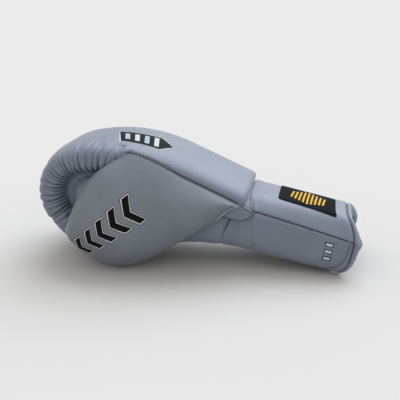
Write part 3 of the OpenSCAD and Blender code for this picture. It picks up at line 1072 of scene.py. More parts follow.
@dataclass
class HandAssembly:
    """The padded fist with its gathered front, the palm, the finger walls and the wrist skin."""

    gathers: int = 29
    gather_depth: float = 2.9
    gather_lean: float = 15.0
    # Degrees that a gather runs back from its seam: beside the thumb, and further round the roll.
    gather_reach: tuple[float, float] = (66.0, 128.0)
    # Largest angle that a gather starts from, just short of the inner seam.
    gather_limit: float = 230.0
    # Distance over which the gathers fan out from the thumb's corner.
    corner_run: float = 62.0
    # Depth of the gathers on the far side, as a share of the near ones.
    far_share: float = 0.55
    crease_width: float = 1.2
    ledge: float = 2.0
    mm_per_degree: float = 0.35
    # Distance where the close rows of points begin, and their step.
    fine_rows: tuple[float, float] = (140.0, 0.62)
    # First angle, last angle and count of the points round the section.
    angle_spans: tuple[tuple[float, float, int], ...] = (
        (-125.0, -66.0, 10),
        (-64.0, 60.0, 40),
        (63.0, 117.0, 16),
        (119.0, 234.0, 84),
    )
    # Angles between which the inner face has lining.
    lined_th: tuple[float, float] = (-112.0, -78.0)
    walls: tuple[FingerWall, FingerWall] = (
        FingerWall("finger_gusset_skin", "finger_gusset", -1, -66.0, 49.5, (230.0, 215.0), 1.5),
        FingerWall("little_finger_skin", "little_finger_wall", 1, -56.0, 45.2, (-60.0, -35.0), 1.0),
    )
    # Height of each fold, its place from the edge to the middle, and its width.
    wall_folds: tuple[tuple[float, float, float], ...] = (
        (2.6, 0.34, 0.10),
        (-2.4, 0.17, 0.07),
        (1.2, 0.62, 0.12),
    )
    wall_leather: float = 1.6
    panels: tuple[PalmPanel, PalmPanel] = (
        PalmPanel("palm_skin", ("palm_panel", "hand_lining"), 108.0, 320.0, 0.7),
        PalmPanel("little_side_skin", ("little_side_panel",), 320.0, 430.0, 3.4),
    )
    wrist_leather: float = 1.8
    wrist_middle: tuple[float, float, float] = (52.0, 0.0, 45.0)
    wrist_normal: tuple[float, float, float] = (0.996, 0.0, -0.086)
    wrist_blend: float = 9.0
    fold_radius: float = 0.55
    tuck_run: float = 16.0
    lining_depth: float = 2.6
    seam_row: Stitching = Stitching(pitch=3.4, length=2.2, radius=0.28, lift=0.08)
    # Middle of the print, along the back line and across it.
    print_at: tuple[float, float] = (117.0, -14.0)
    print_half: tuple[float, float] = (30.0, 17.0)
    # Below both this distance and this angle there are no gathers, so that the print lies smooth.
    print_clear: tuple[float, float] = (151.0, 124.0)
    form: FistForm = FIST
    pocket: PocketForm = POCKET
    cuff: CuffForm = CUFF

    def creases(self, s: Array, th: Array, seed: float, corner: bool) -> Array:
        """Depth of the gathers.

        Args:
            s: Distance along the back line.
            th: Angle, measured as on the near side.
            seed: Changes the spacing and the reach of each gather.
            corner: Whether the gathers fan out round the thumb's corner.

        Returns:
            Depth in mm, below 0 where the leather puffs out.
        """
        f = self.form
        first, last = f.seam_end + 8, f.gather_end + 14
        pitch = (last - first) / self.gathers
        out = np.zeros(np.broadcast_shapes(s.shape, th.shape))
        # The row fades in behind the thumb's corner and out under the fingertips.
        span = ease((s - first + 20) / 16) * ease((f.gather_end + 22 - s) / 26)
        for k in range(self.gathers):
            # Three fixed uneven numbers give each gather a place, a reach and a depth of its own.
            shake = [math.sin(rate * k + turn * seed) for rate, turn in ((12.9, 1), (7.7, 2), (4.3, 3))]
            at = first + pitch * (k + 0.5 + 0.26 * shake[0])
            seam = min(float(f.near_th(np.array(at))), self.gather_limit) if corner else self.gather_limit
            # Gathers past the front are shorter. Those beside the thumb's corner are longer and lean.
            front = ease((at - f.front) / 60)
            start = 1 - ease((at - first) / self.corner_run) if corner else 0.0
            spread = mix(*self.gather_reach, ease((seam - 150) / 70)) + 22 * shake[1]
            reach = seam - spread * (1 - 0.28 * front) - 14 * start
            # A gather is deepest and narrowest at its seam, where w is 1.
            w = np.clip((th - reach) / (seam - 3 - reach), 0, 1)
            place = at + (4.0 * shake[2] - self.gather_lean * start) * (1 - w)
            width = self.crease_width * (0.9 + 1.1 * (1 - w))
            full = (0.74 + 0.26 * shake[2]) * ease(w) ** (0.7 - 0.4 * start)
            out = out + full * np.exp(-((s - place) / width) ** 2)
        # On the side, the leather between the gathers puffs out a little.
        side = ease((th - 105) / 90)
        clear = np.maximum(ease((s - self.print_clear[0]) / 8), ease((th - self.print_clear[1]) / 10))
        return span * clear * (self.gather_depth * out - 0.8 * side)

    def depth(self, s: Array, th: Array) -> Array:
        """Depth of the leather below the plain form: seams, gathers and soft waves.

        Args:
            s: Distance along the back line.
            th: Angle round the section in degrees.

        Returns:
            Depth in mm.
        """
        f = self.form
        near = f.near_th(s)
        beyond, past = (th - near) * self.mm_per_degree, (f.inner_far_th - th) * self.mm_per_degree
        # Past its near seam and its far seam the leather steps down, with a groove on each seam.
        d = self.ledge * ease(beyond / 1.8) + 0.5 * np.exp(-(beyond / 1.3) ** 2)
        d = d + 1.2 * ease(past / 1.8 + 0.2) + 0.7 * np.exp(-(past / 1.5) ** 2)
        d = d + self.creases(s, th, 0.4, True) * (th < near + 6)
        d = d + self.far_share * self.creases(s, 170 - th, 2.2, False)
        # Soft waves cross the near side, between the back of the hand and the front.
        soft = ease((s - 105) / 40) * ease((f.front - s) / 60)
        return d + 0.35 * soft * ripple(s / 6.5 + np.radians(th) * 1.6, 0.8) * ease((th - 70) / 60)

    def skin(self, s: Array, th: Array, rise: Array) -> Array:
        """Points on the finished leather, raised by a height."""
        return self.form.surface(s, th, self.depth(s, th) - rise)

    def build(self) -> list[bpy.types.Object]:
        """Make the cover, the walls, the palm side and the wrist."""
        return [self.build_cover(), *map(self.build_wall, self.walls), *map(self.build_panel, self.panels),
                self.build_wrist(), *self.build_fold()]

    def build_cover(self) -> bpy.types.Object:
        """Make the filled leather cover from the wrist over the knuckles to the fingertips.

        Returns:
            The piece, riding on the hand.
        """
        f = self.form
        fine_from, fine_step = self.fine_rows
        fine_end, last = f.gather_end + 24, f.length - f.end_r
        s = np.unique(np.concatenate([np.linspace(0, f.end_r, 8), np.arange(f.end_r, fine_from, 2.2),
                                      np.arange(fine_from, fine_end, fine_step),
                                      np.linspace(fine_end, last, 12), np.linspace(last, f.length, 8)]))
        th = np.concatenate([np.linspace(*span) for span in self.angle_spans])
        rings = self.form.surface(s[:, None], th[None, :], self.depth(s[:, None], th[None, :]))
        verts, faces = closed_loft(rings)
        mid = (th + np.roll(th, -1)) / 2
        low, high = self.lined_th
        row = [1 if low < t < high and j < len(th) - 1 else 0 for j, t in enumerate(mid)]
        marks = row * (len(s) - 1) + [0] * (len(faces) - len(row) * (len(s) - 1))
        piece = make_piece("fist_cover", TABLE.row(verts), faces, [PALETTE.leather, PALETTE.lining], marks)
        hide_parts("dorsal_cover", "knuckle_foam_outer", "knuckle_foam_inner", "finger_lining")
        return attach(piece, Body.HAND.value)

    def build_wall(self, wall: FingerWall) -> bpy.types.Object:
        """Make one dished leather wall inside the curl.

        Args:
            wall: Its sizes.

        Returns:
            The piece, riding on the hand.
        """
        f, side = self.form, wall.side
        s, r = np.linspace(f.knuckle - 26, f.length - 1, 124), np.linspace(0, 1, 34)
        tip = ease((s - f.length + 72) / 44)
        # The wall runs from its sewn edge on the roll to a line inside the curl.
        edge = f.surface(s, mix(*wall.edge_th, tip), np.full(s.shape, 1.2))
        rise = ease(r[None, :] / mix(0.25, 0.06, tip)[:, None])
        height = mix(74.0, 36.0, np.linspace(0, 1, len(s)))
        centre = points(np.full(s.shape, wall.back), np.full(s.shape, side * wall.stand), height)
        p = mix(edge[:, None], centre[:, None], r[None, :, None])
        # It has folds and waves beside the edge, and lies plain at its two ends.
        fold = sum(tall * np.exp(-((r - at) / wide) ** 2) for tall, at, wide in self.wall_folds)
        middle = np.sin(np.pi * np.clip(r / 0.6, 0, 1))
        wave = 0.5 * ripple(s[:, None] / 9 + 3 * r[None, :], 1.3) * middle[None, :]
        hold = (ease((s - s[0]) / 20) * ease((s[-1] - s) / 46))[:, None]
        end = side * (wall.stand - 9 * (1 - ease((f.length - 1 - s) / 9)))
        dish = mix(edge[:, 1][:, None], end[:, None], rise)
        y = dish + side * hold * wall.fullness * (fold[None, :] + wave)
        outer, inner = p.copy(), p.copy()
        outer[..., 1], inner[..., 1] = y, y - side * self.wall_leather
        verts, faces = closed_loft(np.concatenate([outer, inner[:, ::-1]], axis=1))
        piece = make_piece(wall.name, TABLE.row(verts), faces, [PALETTE.leather])
        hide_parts(wall.node)
        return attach(piece, Body.HAND.value)

    def pocket_skin(self, s: Array, th: Array, rise: Array) -> Array:
        """Points on the leather below the pad, tucked in under the pad, the wrist and the finger walls.

        Args:
            s: Distance along the back line.
            th: Angle round the section in degrees, 270 at the palm.
            rise: Height above the plain form.

        Returns:
            Points in the forms' frame.
        """
        p, f, r = self.pocket, self.form, np.radians(th)
        px, pz = f.inner(s)
        top, low = pz - p.gap, p.palm_z(px)
        mid, half = (top + low) / 2, (top - low) / 2
        lean = math.sin(math.radians(f.tilt)) * (1 - (s - p.start) / (p.end - p.start))
        near, over = np.cos(r) < 0, np.sin(r) > 0
        # The sides draw in towards the fingers and the wrist, under what covers them there.
        tuck = (np.where(near, 13, 8) * (1 - ease((p.end + self.tuck_run - s) / 36))
                + 6 * (1 - ease((s - p.start + 8) / 16)))
        # Above its middle the section is squarer, to close against the pad.
        bend, flat = np.where(over, 0.45, 2 / 3), np.where(over, 0.16, 2 / 3)
        v = (half + np.where(over, 6.0, rise)) * np.sign(np.sin(r)) * np.abs(np.sin(r)) ** bend
        y = (f.half(s) - np.where(near, p.inset_near, p.inset_far) - tuck + rise) * np.sign(np.cos(r))
        return points(px - (top - mid - v) * lean, y * np.abs(np.cos(r)) ** flat, mid + v)

    def build_panel(self, panel: PalmPanel) -> bpy.types.Object:
        """Make one leather panel of the palm side, with lining behind it.

        Args:
            panel: Its sizes.

        Returns:
            The piece, riding on the hand.
        """
        p = self.pocket
        s = np.linspace(p.start - 8, p.end + self.tuck_run, 90)[:, None]
        th = np.linspace(panel.first_th, panel.last_th, 100)[None, :]
        edge = np.minimum(th - panel.first_th, panel.last_th - th) * 0.6
        full = panel.puff * ease(edge / 20) - 0.9 * np.exp(-(edge / 1.6) ** 2)
        wave = 0.45 * ripple(s / 9 + np.radians(th) * 1.4, 2.0) * ease(edge / 10)
        outer = self.pocket_skin(s, th, full + wave)
        inner = self.pocket_skin(s, th[:, ::-1], np.full((1, 1), -self.lining_depth))
        return self.add_lined(panel.name, outer, inner, panel.nodes)

    def add_lined(self, name: str, outer: Array, inner: Array, nodes: Sequence[str]) -> bpy.types.Object:
        """Add a leather piece with lining on its inner side.

        Args:
            name: Name of the piece.
            outer: Rows of points on the leather.
            inner: Rows of points on the lining, in the opposite order.
            nodes: The nodes that it replaces.

        Returns:
            The piece, riding on the hand.
        """
        verts, faces = closed_loft(np.concatenate([outer, inner], axis=1))
        rows, cols = outer.shape[:2]
        row = [0] * cols + [1] * (cols - 1) + [0]
        marks = row * (rows - 1) + [0] * (len(faces) - 2 * cols * (rows - 1))
        piece = make_piece(name, TABLE.row(verts), faces, [PALETTE.leather, PALETTE.lining], marks)
        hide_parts(*nodes)
        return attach(piece, Body.HAND.value)

    def wrist_root(self, phi: Array) -> Array:
        """Points round the hand where the wrist skin begins.

        Args:
            phi: Angles round the wrist in degrees.

        Returns:
            Points in the forms' frame.
        """
        f = self.form
        a, turn = math.radians(180 - f.tilt), np.radians(phi)
        # A point just inside the pad's upper edge, and one at the heel of the palm.
        top = np.array([f.start[0] - 3.4 * math.sin(a), f.start[1] + 3.4 * math.cos(a)])
        heel = self.pocket.surface(np.array(self.pocket.start), np.array(270.0), np.array(0.0))
        low = np.array([heel[0] + 1.0, heel[2] - 1.4])
        k = 0.5 + 0.5 * signed_power(np.sin(turn), 2 / 3)
        half = float(f.half(np.array(0.0))) - np.where(np.cos(turn) < 0, 1.4, 5.6)
        y = half * signed_power(np.cos(turn), 2 / 3)
        return points(mix(low[0], top[0], k) - 4.5, y, mix(low[1], top[1], k))

    def build_wrist(self) -> bpy.types.Object:
        """Make the soft skin that joins the hand to the cuff, with folds at the wrist.

        Returns:
            The piece, blended from the hand to the cuff.
        """
        f = self.form
        phi, t = np.linspace(0, 360, 168, endpoint=False), np.linspace(0, 1, 26)
        mouth = self.cuff.surface(np.full(phi.shape, 0.04), phi, np.full(phi.shape, 0.5))
        p = mix(self.wrist_root(phi)[None], mouth[None], t[:, None, None])
        # Folds stand out from a line through the middle of the wrist.
        out = p - np.array([f.start[0], 0.0, f.start[1] - 30.0])
        out[..., 0] = 0
        out /= np.linalg.norm(out, axis=2, keepdims=True)
        near = np.exp(-(((phi - 196 + 180) % 360 - 180) / 30) ** 2)
        corner = np.exp(-((phi - 150) / 20) ** 2)
        bottom = ease((-np.sin(np.radians(phi)) + 0.2) / 0.8)
        swell = np.sin(np.pi * t)[:, None]
        # One fold on the thumb side, a swelling above it, and small folds underneath.
        fold = (-0.5 * swell * (1 - bottom)[None, :]
                + 2.4 * near[None, :] * np.exp(-((t - 0.5) / 0.2) ** 2)[:, None]
                + 3.0 * corner[None, :] * swell
                + 0.7 * bottom[None, :] * np.sin(3 * np.pi * t)[:, None] * swell)
        outer, inner = p + out * fold[..., None], p + out * (fold[..., None] - self.wrist_leather)
        rings = np.concatenate([outer, inner[::-1]], axis=0).transpose(1, 0, 2)
        n, m = rings.shape[:2]
        base = (n - 1) * m
        faces = grid_faces(n, m, wrap=True)
        faces += [(base + j, base + (j + 1) % m, (j + 1) % m, j) for j in range(m)]
        piece = make_piece("wrist_skin", TABLE.row(rings.reshape(-1, 3)), faces, [PALETTE.leather])
        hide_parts("wrist_gusset")
        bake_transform(piece)
        return piece

    def build_fold(self) -> list[bpy.types.Object]:
        """Make the small folded gusset where the thumb seam meets the cuff seam, with a dark line along its
        edge that paints the shadow in the gap beside it.

        Returns:
            The gusset and its painted shadow line, blended from the hand to the cuff.
        """
        hand_end = self.form.surface(np.array(3.0), np.array(176.0), np.array(0.4))
        hand_end = hand_end + np.array([0.0, -0.6, -1.0])
        cuff_end = self.cuff.surface(np.array(0.05), np.array(158.0), np.array(0.0))
        cuff_end = cuff_end + np.array([0.0, -1.2, -0.6])
        k = np.linspace(0, 1, 30)
        r, w = k[:, None, None], np.linspace(0, 1, 36)[None, :, None]
        thumb = THUMB.low(0.13 * k) + np.array([0.0, 2.2, 1.6]) * ease(k / 0.2)[:, None]
        # An arched sheet from the thumb's bottom line to the line between the hand and the cuff.
        arch = np.sin(np.pi * w ** 1.7)
        flat = mix(thumb[:, None], mix(hand_end, cuff_end, r), w) + np.array([0.0, 0.0, -5.0]) * arch * r
        swell = 3.0 * arch ** 0.8 * r ** 0.7 + 1.2 * np.exp(-((w - 0.3) / 0.12) ** 2) * r
        outer = flat - np.array([0.0, 1.0, 0.0]) * swell
        inner = outer + np.array([0.0, 2.0, 0.6])
        verts, faces = closed_loft(np.concatenate([outer, inner[:, ::-1]], axis=1))
        piece = make_piece("wrist_fold", TABLE.row(verts), faces, [PALETTE.leather])
        # A dark tube along the edge beside the hand and the cuff: a painted shadow line for the gap there,
        # kept in the variable seam.
        border = np.concatenate([outer[:-1, -1], outer[-1, ::-1]]) + np.array([0.0, -0.1, -0.1])
        verts, faces = tube(border, np.full(len(border), self.fold_radius))
        seam = make_piece("wrist_fold_shadow_line", TABLE.row(verts), faces, [PALETTE.crease])
        for part, slot in ((piece, Slot.LEATHER), (seam, Slot.LEATHER_DARK)):
            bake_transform(part)
        return [piece, seam]

    def dress(self) -> list[bpy.types.Object]:
        """Add the seam thread, the print on the back of the hand and the grip bar's finish.

        Returns:
            The pieces that it adds or finishes.
        """
        f = self.form
        s = np.linspace(6, f.seam_end + 2, 160)
        th = f.near_th(s) - 1.6
        path = self.skin(s, th, np.zeros(s.shape))
        across = self.skin(s, th - 1, np.zeros(s.shape)) - path
        seam = facing(path, across, np.tile([0.0, -1.0, 0.6], (len(s), 1)))
        thread = self.seam_row.sew("thumb_seam_thread", path, seam, PALETTE.dark_thread)
        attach(thread, Body.HAND.value)
        shield = print_piece("back_print", self.motif(), self.lay_back)
        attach(shield, Body.HAND.value)
        return [thread, shield, finish_node("grip_bar", PALETTE.leather)]

    def lay_back(self, flat: Array) -> Array:
        """Lay flat points on the back of the hand.

        Args:
            flat: Places along the back line and across it, with a height last.

        Returns:
            Points on the leather.
        """
        s, y = self.print_at[0] + flat[..., 0], self.print_at[1] + flat[..., 1]
        th = 180 - np.degrees(np.arccos(np.clip(np.abs(y / self.form.half(s)), 0, 1) ** 1.5))
        th = np.where(y > 0, 180 - th, th)
        return self.skin(s, th, flat[..., 2])

    def motif(self) -> list[PrintBlock]:
        """List the blocks of the print: slanted stripes on a long shield.

        Returns:
            The blocks, lowest first.
        """
        out = []
        for grow, finish, h in ((1.8, PALETTE.white, 0.12), (0.6, PALETTE.ink, 0.2)):
            x, y = self.print_half[0] + grow, self.print_half[1] + grow
            out.append(PrintBlock(((-x, 0), (x - 6, 0), (x, y), (-x + 16, y)), finish, h))
            out.append(PrintBlock(((-x + 10, -y), (x - 12, -y), (x - 6, 0), (-x, 0)), finish, h))
        for i, x in enumerate((-16.0, -6.0, 4.0, 14.0)):
            finish, y = PALETTE.pale if i % 2 else PALETTE.white, 13 - i
            out.append(PrintBlock(((x - 2.4, -y), (x + 2.4, -y), (x + 8.4, y), (x + 3.6, y)), finish, 0.3))
        return out


@dataclass
class ThumbAssembly:
    """The leaf-shaped thumb beside the fist."""

    seam_radius: float = 0.42
    welt_radius: float = 0.85
    # Share of the leaf that the welt runs along.
    welt_end: float = 0.16
    # Middle of the print, as shares along and across the leaf, and its turn in degrees.
    print_u: float = 0.66
    print_v: float = 0.54
    print_turn: float = 38.0
    # Place of each chevron along the print.
    chevrons: tuple[float, ...] = (-31.0, -15.5, 0.0, 15.5, 31.0)
    chevron_half: float = 3.3
    chevron_lean: float = 6.6
    form: ThumbForm = THUMB

    def eased(self, u: Array, v: Array) -> Array:
        """Points on the form with its corner drawn round.

        Args:
            u: Share of the way along the leaf.
            v: Share of the way across it.

        Returns:
            Points in the forms' frame.
        """
        # A weighted mean of five neighbours along the leaf rounds the corner.
        step = (0.016 + 0.024 * ease(v / 0.3)) * ease(u / 0.15) * ease((1 - u) / 0.15)
        taps = ((-2, 1), (-1, 4), (0, 6), (1, 4), (2, 1))
        return sum(w / 16 * self.form.skin(np.clip(u + k * step, 0, 1), v) for k, w in taps)

    def skin(self, u: Array, v: Array, rise: Array) -> Array:
        """Points on the finished leather.

        Args:
            u: Share of the way along the leaf.
            v: Share of the way across it.
            rise: Height above the leather.

        Returns:
            Points in the forms' frame.
        """
        p = self.eased(u, v)
        # The leather draws in along both seams and waves softly between them.
        edge = np.minimum(np.abs(v), np.abs(1 - v))
        wave = 0.45 * ripple(u * 17 + v * 5, 0.6) * np.sin(np.pi * v) * ease(u / 0.3)
        y = p[..., 1] + 0.8 * np.exp(-(edge / 0.025) ** 2) - wave - rise
        return points(p[..., 0], y, p[..., 2])

    def build(self) -> list[bpy.types.Object]:
        """Make the filled leather leaf.

        Returns:
            The one piece, riding on the thumb.
        """
        u = np.concatenate([[0.0, 0.004, 0.012], np.linspace(0.024, 0.976, 150), [0.988, 0.996, 1.0]])
        v = 0.5 - 0.5 * np.cos(np.pi * np.linspace(0, 1, 72))
        w = 0.5 - 0.5 * np.cos(np.pi * np.linspace(0, 1, 26)[1:-1])
        outer = self.skin(u[:, None] + 0 * v[None, :], v[None, :] + 0 * u[:, None], np.zeros((1, 1)))
        inner = self.form.inside(u[:, None] + 0 * w[None, :], w[None, ::-1] + 0 * u[:, None])
        verts, faces = closed_loft(np.concatenate([outer, inner], axis=1))
        piece = make_piece("thumb_cover", TABLE.row(verts), faces, [PALETTE.thumb])
        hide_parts("thumb_outer_panel", "thumb_inner_panel", "thumb_foam", "thumb_lining")
        return [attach(piece, Body.THUMB.value)]

    def dress(self) -> list[bpy.types.Object]:
        """Add the seam line, the welt along the bottom and the print.

        Returns:
            The three pieces, riding on the thumb.
        """
        u = np.linspace(0.015, self.form.seam_part + 0.02, 160)
        top = self.eased(u, np.zeros(u.shape)) + np.array([0.0, -0.2, 0.2])
        verts, faces = tube(top, np.full(u.shape, self.seam_radius))
        line = make_piece("thumb_seam_line", TABLE.row(verts), faces, [PALETTE.crease])
        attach(line, Body.THUMB.value)
        u = np.linspace(0.0, self.welt_end, 60)
        low = self.form.low(u) + np.array([0.0, -0.6, -0.3])
        taper = ease(u / 0.02) * ease((self.welt_end + 0.005 - u) / 0.05)
        verts, faces = tube(low, self.welt_radius * taper + 0.12)
        # The welt takes the lighter leather, partly a painted highlight.
        welt = make_piece("thumb_welt", TABLE.row(verts), faces, [PALETTE.welt])
        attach(welt, Body.THUMB.value)
        row = print_piece("thumb_print", self.motif(), self.lay)
        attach(row, Body.THUMB.value)
        return [line, welt, row]

    def lay(self, flat: Array) -> Array:
        """Lay flat points on the thumb, straight in from its outer side.

        Args:
            flat: Places along and across the print, with a height last.

        Returns:
            Points on the leather.
        """
        u, v = np.full(flat.shape[:2], self.print_u), np.full(flat.shape[:2], self.print_v)
        at = self.form.skin(np.array(self.print_u), np.array(self.print_v))
        c, s = math.cos(math.radians(self.print_turn)), math.sin(math.radians(self.print_turn))
        x, y = flat[..., 0], flat[..., 1]
        goal = np.stack([at[0] + c * x - s * y, at[2] + s * x + c * y], -1)
        step, rounds = 1e-4, 12
        # Repeated steps along the slopes find the place on the leaf that lies behind each flat point.
        for _ in range(rounds):
            p = self.eased(u, v)[..., [0, 2]]
            pu = (self.eased(u + step, v)[..., [0, 2]] - p) / step
            pv = (self.eased(u, v + step)[..., [0, 2]] - p) / step
            gap, det = goal - p, pu[..., 0] * pv[..., 1] - pu[..., 1] * pv[..., 0]
            u = np.clip(u + (gap[..., 0] * pv[..., 1] - gap[..., 1] * pv[..., 0]) / det, 0.3, 0.98)
            v = np.clip(v + (gap[..., 1] * pu[..., 0] - gap[..., 0] * pu[..., 1]) / det, 0.02, 0.98)
        return self.skin(u, v, flat[..., 2] + 0.1)

    def motif(self) -> list[PrintBlock]:
        """List the blocks of the print: a row of chevrons that point to the tip.

        Returns:
            The blocks, lowest first in each chevron.
        """
        out, half, lean = [], self.chevron_half, self.chevron_lean
        layers = ((1.5, PALETTE.ink, 0.1), (1.0, PALETTE.white, 0.18), (0.0, PALETTE.ink, 0.26))
        for i, x in enumerate(self.chevrons):
            tall = 9.2 + 1.2 * i
            for grow, finish, h in layers:
                a, b, t = x - half - grow, x + half + grow, tall + grow
                out.append(PrintBlock(((a, 0), (b, 0), (b + lean, t), (a + lean, t)), finish, h))
                out.append(PrintBlock(((a + lean, -t), (b + lean, -t), (b, 0), (a, 0)), finish, h))
        return out


@dataclass
class CuffAssembly:
    """The padded cuff with its seams, wrist band, label, rolled end and lining."""

    seam_depth: float = 1.5
    seam_width: float = 1.5
    puff: float = 0.8
    mm_per_degree: float = 0.62
    # Height of the line inside the cuff that its leather is raised away from.
    core: float = -28.0
    lining_gap: float = 0.6
    lining_thick: float = 0.8
    roll_steps: int = 240
    roll_sides: int = 28
    roll_over: float = 0.8
    roll_pucker: float = 0.45
    # Swelling of the roll at the far and at the near side seam.
    knobs: tuple[float, float] = (0.2, 1.0)
    knob_reach: float = 7.0
    # How much deeper and longer a full swelling makes the roll.
    knob_growth: tuple[float, float] = (2.4, 1.8)
    # Shares of the cuff where the band begins and ends.
    band_span: tuple[float, float] = (-0.004, 0.082)
    # Length and width that turn the band's shares into mm.
    band_size: tuple[float, float] = (106.0, 120.0)
    band_rise: float = 0.75
    band_rows: tuple[float, float] = (0.022, 0.060)
    thread_row: Stitching = Stitching(pitch=3.8, length=2.4, radius=0.36, lift=0.16)
    thread_inset: float = 3.4
    hem_radius: float = 0.5
    # Share of the cuff where the size marks lie.
    mark_place: float = 0.78
    mark_pitch: float = 7.0
    marks: int = 3
    label_size: tuple[float, float] = (63.0, 45.0)
    label_corner: float = 3.0
    # Middle of the label: its share of the cuff, and its place across.
    label_middle: tuple[float, float] = (0.59, -1.0)
    label_slant: float = -0.13
    # Heights of the label's upper and under side.
    label_faces: tuple[float, float] = (0.55, -0.35)
    bars: int = 9
    bar_pitch: float = 4.4
    bar_half: float = 17.0
    bar_height: float = 0.95
    form: CuffForm = CUFF

    def pad(self, name: str, lo: Callable[[Array], Array], hi: Callable[[Array], Array],
            nodes: Sequence[str]) -> bpy.types.Object:
        """Make one filled panel.

        Args:
            name: Name of the piece.
            lo: Its first angle at each place along the cuff.
            hi: Its last angle at each place along the cuff.
            nodes: The nodes that it replaces.

        Returns:
            The piece, riding on the cuff.
        """
        f = np.concatenate([[0.0, 0.006], np.linspace(0.015, 0.985, 90), [0.994, 1.0]])
        k = 0.5 - 0.5 * np.cos(np.pi * np.linspace(0, 1, 84))
        th = mix(lo(f)[:, None], hi(f)[:, None], k[None, :])
        outer = self.skin(f[:, None] + 0 * th, th, 0 * th, lo(f)[:, None], hi(f)[:, None])
        ti = th[:, ::-1]
        inner = self.form.surface(f[:, None] + 0 * ti, ti, 0 * ti + self.form.inside)
        verts, faces = closed_loft(np.concatenate([outer, inner], axis=1))
        piece = make_piece(name, TABLE.row(verts), faces, [PALETTE.leather])
        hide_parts(*nodes)
        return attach(piece, Body.CUFF.value)

    def skin(self, f: Array, th: Array, rise: Array, lo: Array, hi: Array) -> Array:
        """Points on a panel's leather, drawn in at its edges.

        Args:
            f: Share of the way from the wrist edge to the open end.
            th: Angle round the section in degrees.
            rise: Height above the leather.
            lo: First angle of the panel.
            hi: Last angle of the panel.

        Returns:
            Points in the forms' frame.
        """
        p = self.form.surface(f, th, 0 * th)
        run = np.minimum(np.abs(th - lo), np.abs(hi - th)) * self.mm_per_degree
        ends = self.form.length * np.stack(np.broadcast_arrays(f, 1 - f))
        # Grooves along the seams and the two ends, and a soft fullness between them.
        d = (self.seam_depth * np.exp(-(run / self.seam_width) ** 2) - self.puff * ease(run / 7)
             + 0.8 * np.exp(-(ends[0] / 2.4) ** 2) + 1.5 * np.exp(-(ends[1] / 1.6) ** 2)
             + 0.12 * ripple(f * 17 + np.radians(th) * 3, 1.1) * ease(run / 8) - rise)
        along = mix(self.form.start(self.core), self.form.end(self.core), f)
        n = p - self.form.place(along, 0 * f, 0 * f + self.core)
        n /= np.linalg.norm(n, axis=-1, keepdims=True)
        return p - n * d[..., None]

    def back_lo(self, f: Array) -> Array:
        """Far edge of the back panel."""
        return self.form.back_th(f)

    def back_hi(self, f: Array) -> Array:
        """Near edge of the back panel."""
        return 180 - self.form.back_th(f)

    def flap_lo(self, f: Array) -> Array:
        """Edge of the little-finger side at its flap."""
        return 0 * f + self.form.flap_th(0.0)

    def flap_hi(self, f: Array) -> Array:
        """Edge of the thumb side at its flap."""
        return 0 * f + 180 - self.form.flap_th(0.0)

    def back(self, f: Array, th: Array, rise: Array) -> Array:
        """Points on the back panel."""
        return self.skin(f, th, rise, self.back_lo(f), self.back_hi(f))

    def side(self, f: Array, th: Array, rise: Array) -> Array:
        """Points on the thumb-side panel."""
        return self.skin(f, th, rise, self.back_hi(f), self.flap_hi(f))

    def build(self) -> list[bpy.types.Object]:
        """Make the three panels, the lining and the rolled end.

        Returns:
            The five pieces, riding on the cuff.
        """
        return [
            self.pad("cuff_back_pad", self.back_lo, self.back_hi, ("cuff_back_panel", "cuff_back_foam")),
            self.pad("cuff_thumb_side_pad", self.back_hi, self.flap_hi,
                     ("cuff_thumb_side_panel", "cuff_thumb_side_foam")),
            self.pad("cuff_little_side_pad", self.flap_lo, self.back_lo,
                     ("cuff_little_side_panel", "cuff_little_side_foam")),
            self.build_lining(),
            self.build_end(),
        ]

    def build_lining(self) -> bpy.types.Object:
        """Make the cloth inside the cuff.

        Returns:
            The piece, riding on the cuff.
        """
        deep = self.form.inside + self.lining_gap
        f = np.linspace(0.05, 1.0, 40)
        th = np.linspace(self.form.flap_th(deep), 180 - self.form.flap_th(deep), 90)
        size = (len(f), len(th))
        outer = self.form.surface(f[:, None], th[None, :] + 0 * f[:, None], np.full(size, deep))
        inner = self.form.surface(f[:, None], th[None, ::-1] + 0 * f[:, None],
                                  np.full(size, deep + self.lining_thick))
        verts, faces = closed_loft(np.concatenate([outer, inner], axis=1))
        piece = make_piece("cuff_lining_cloth", TABLE.row(verts), faces, [PALETTE.lining])
        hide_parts("cuff_lining")
        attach(piece, Body.CUFF.value)
        return piece

    def round_end(self, steps: int) -> tuple[Array, Array]:
        """Even steps round the open end, from flap to flap.

        Args:
            steps: How many.

        Returns:
            Distance from the first step in mm and angle in degrees, for each step.
        """
        c = self.form
        fine = np.linspace(c.flap_th(0.0), 180 - c.flap_th(0.0), 4000)
        along = distances(points(0 * fine, c.across(fine, 0 * fine), c.up(fine, 0 * fine)))
        run = np.linspace(0, along[-1], steps)
        return run, np.interp(run, along, fine)

    def build_end(self) -> bpy.types.Object:
        """Make the rolled leather round the open end, with a fuller roll at each side seam.

        Returns:
            The piece, riding on the cuff.
        """
        c = self.form
        run, th = self.round_end(self.roll_steps)
        turn = 2 * np.pi * np.arange(self.roll_sides) / self.roll_sides
        seam = float(c.back_th(np.array(1.0)))
        # The roll is fuller at the side seams, where leather is doubled.
        knob = sum(full * np.exp(-((run - np.interp(a, th, run)) / self.knob_reach) ** 2)
                   for a, full in zip((seam, 180 - seam), self.knobs))
        deep = c.inside / 2 + self.roll_over + self.knob_growth[0] * knob
        long = c.binding / 2 + self.knob_growth[1] * knob
        depth = c.inside / 2 + deep[:, None] * np.cos(turn)[None, :]
        pucker = self.roll_pucker * ripple(run * 0.95, 0.5)[:, None] * np.maximum(0, np.sin(turn))[None, :]
        y, up = c.across(th[:, None], depth), c.up(th[:, None], depth)
        one = np.ones((1, 1))
        skin = c.bevelled(one[0], c.across(th, 0 * th), c.up(th, 0 * th), 0 * th)
        along = c.end(skin)[:, None] + 0.2 + long[:, None] * (1 + np.sin(turn))[None, :]
        rings = c.place(along, y, c.bevelled(one, y, up, depth))
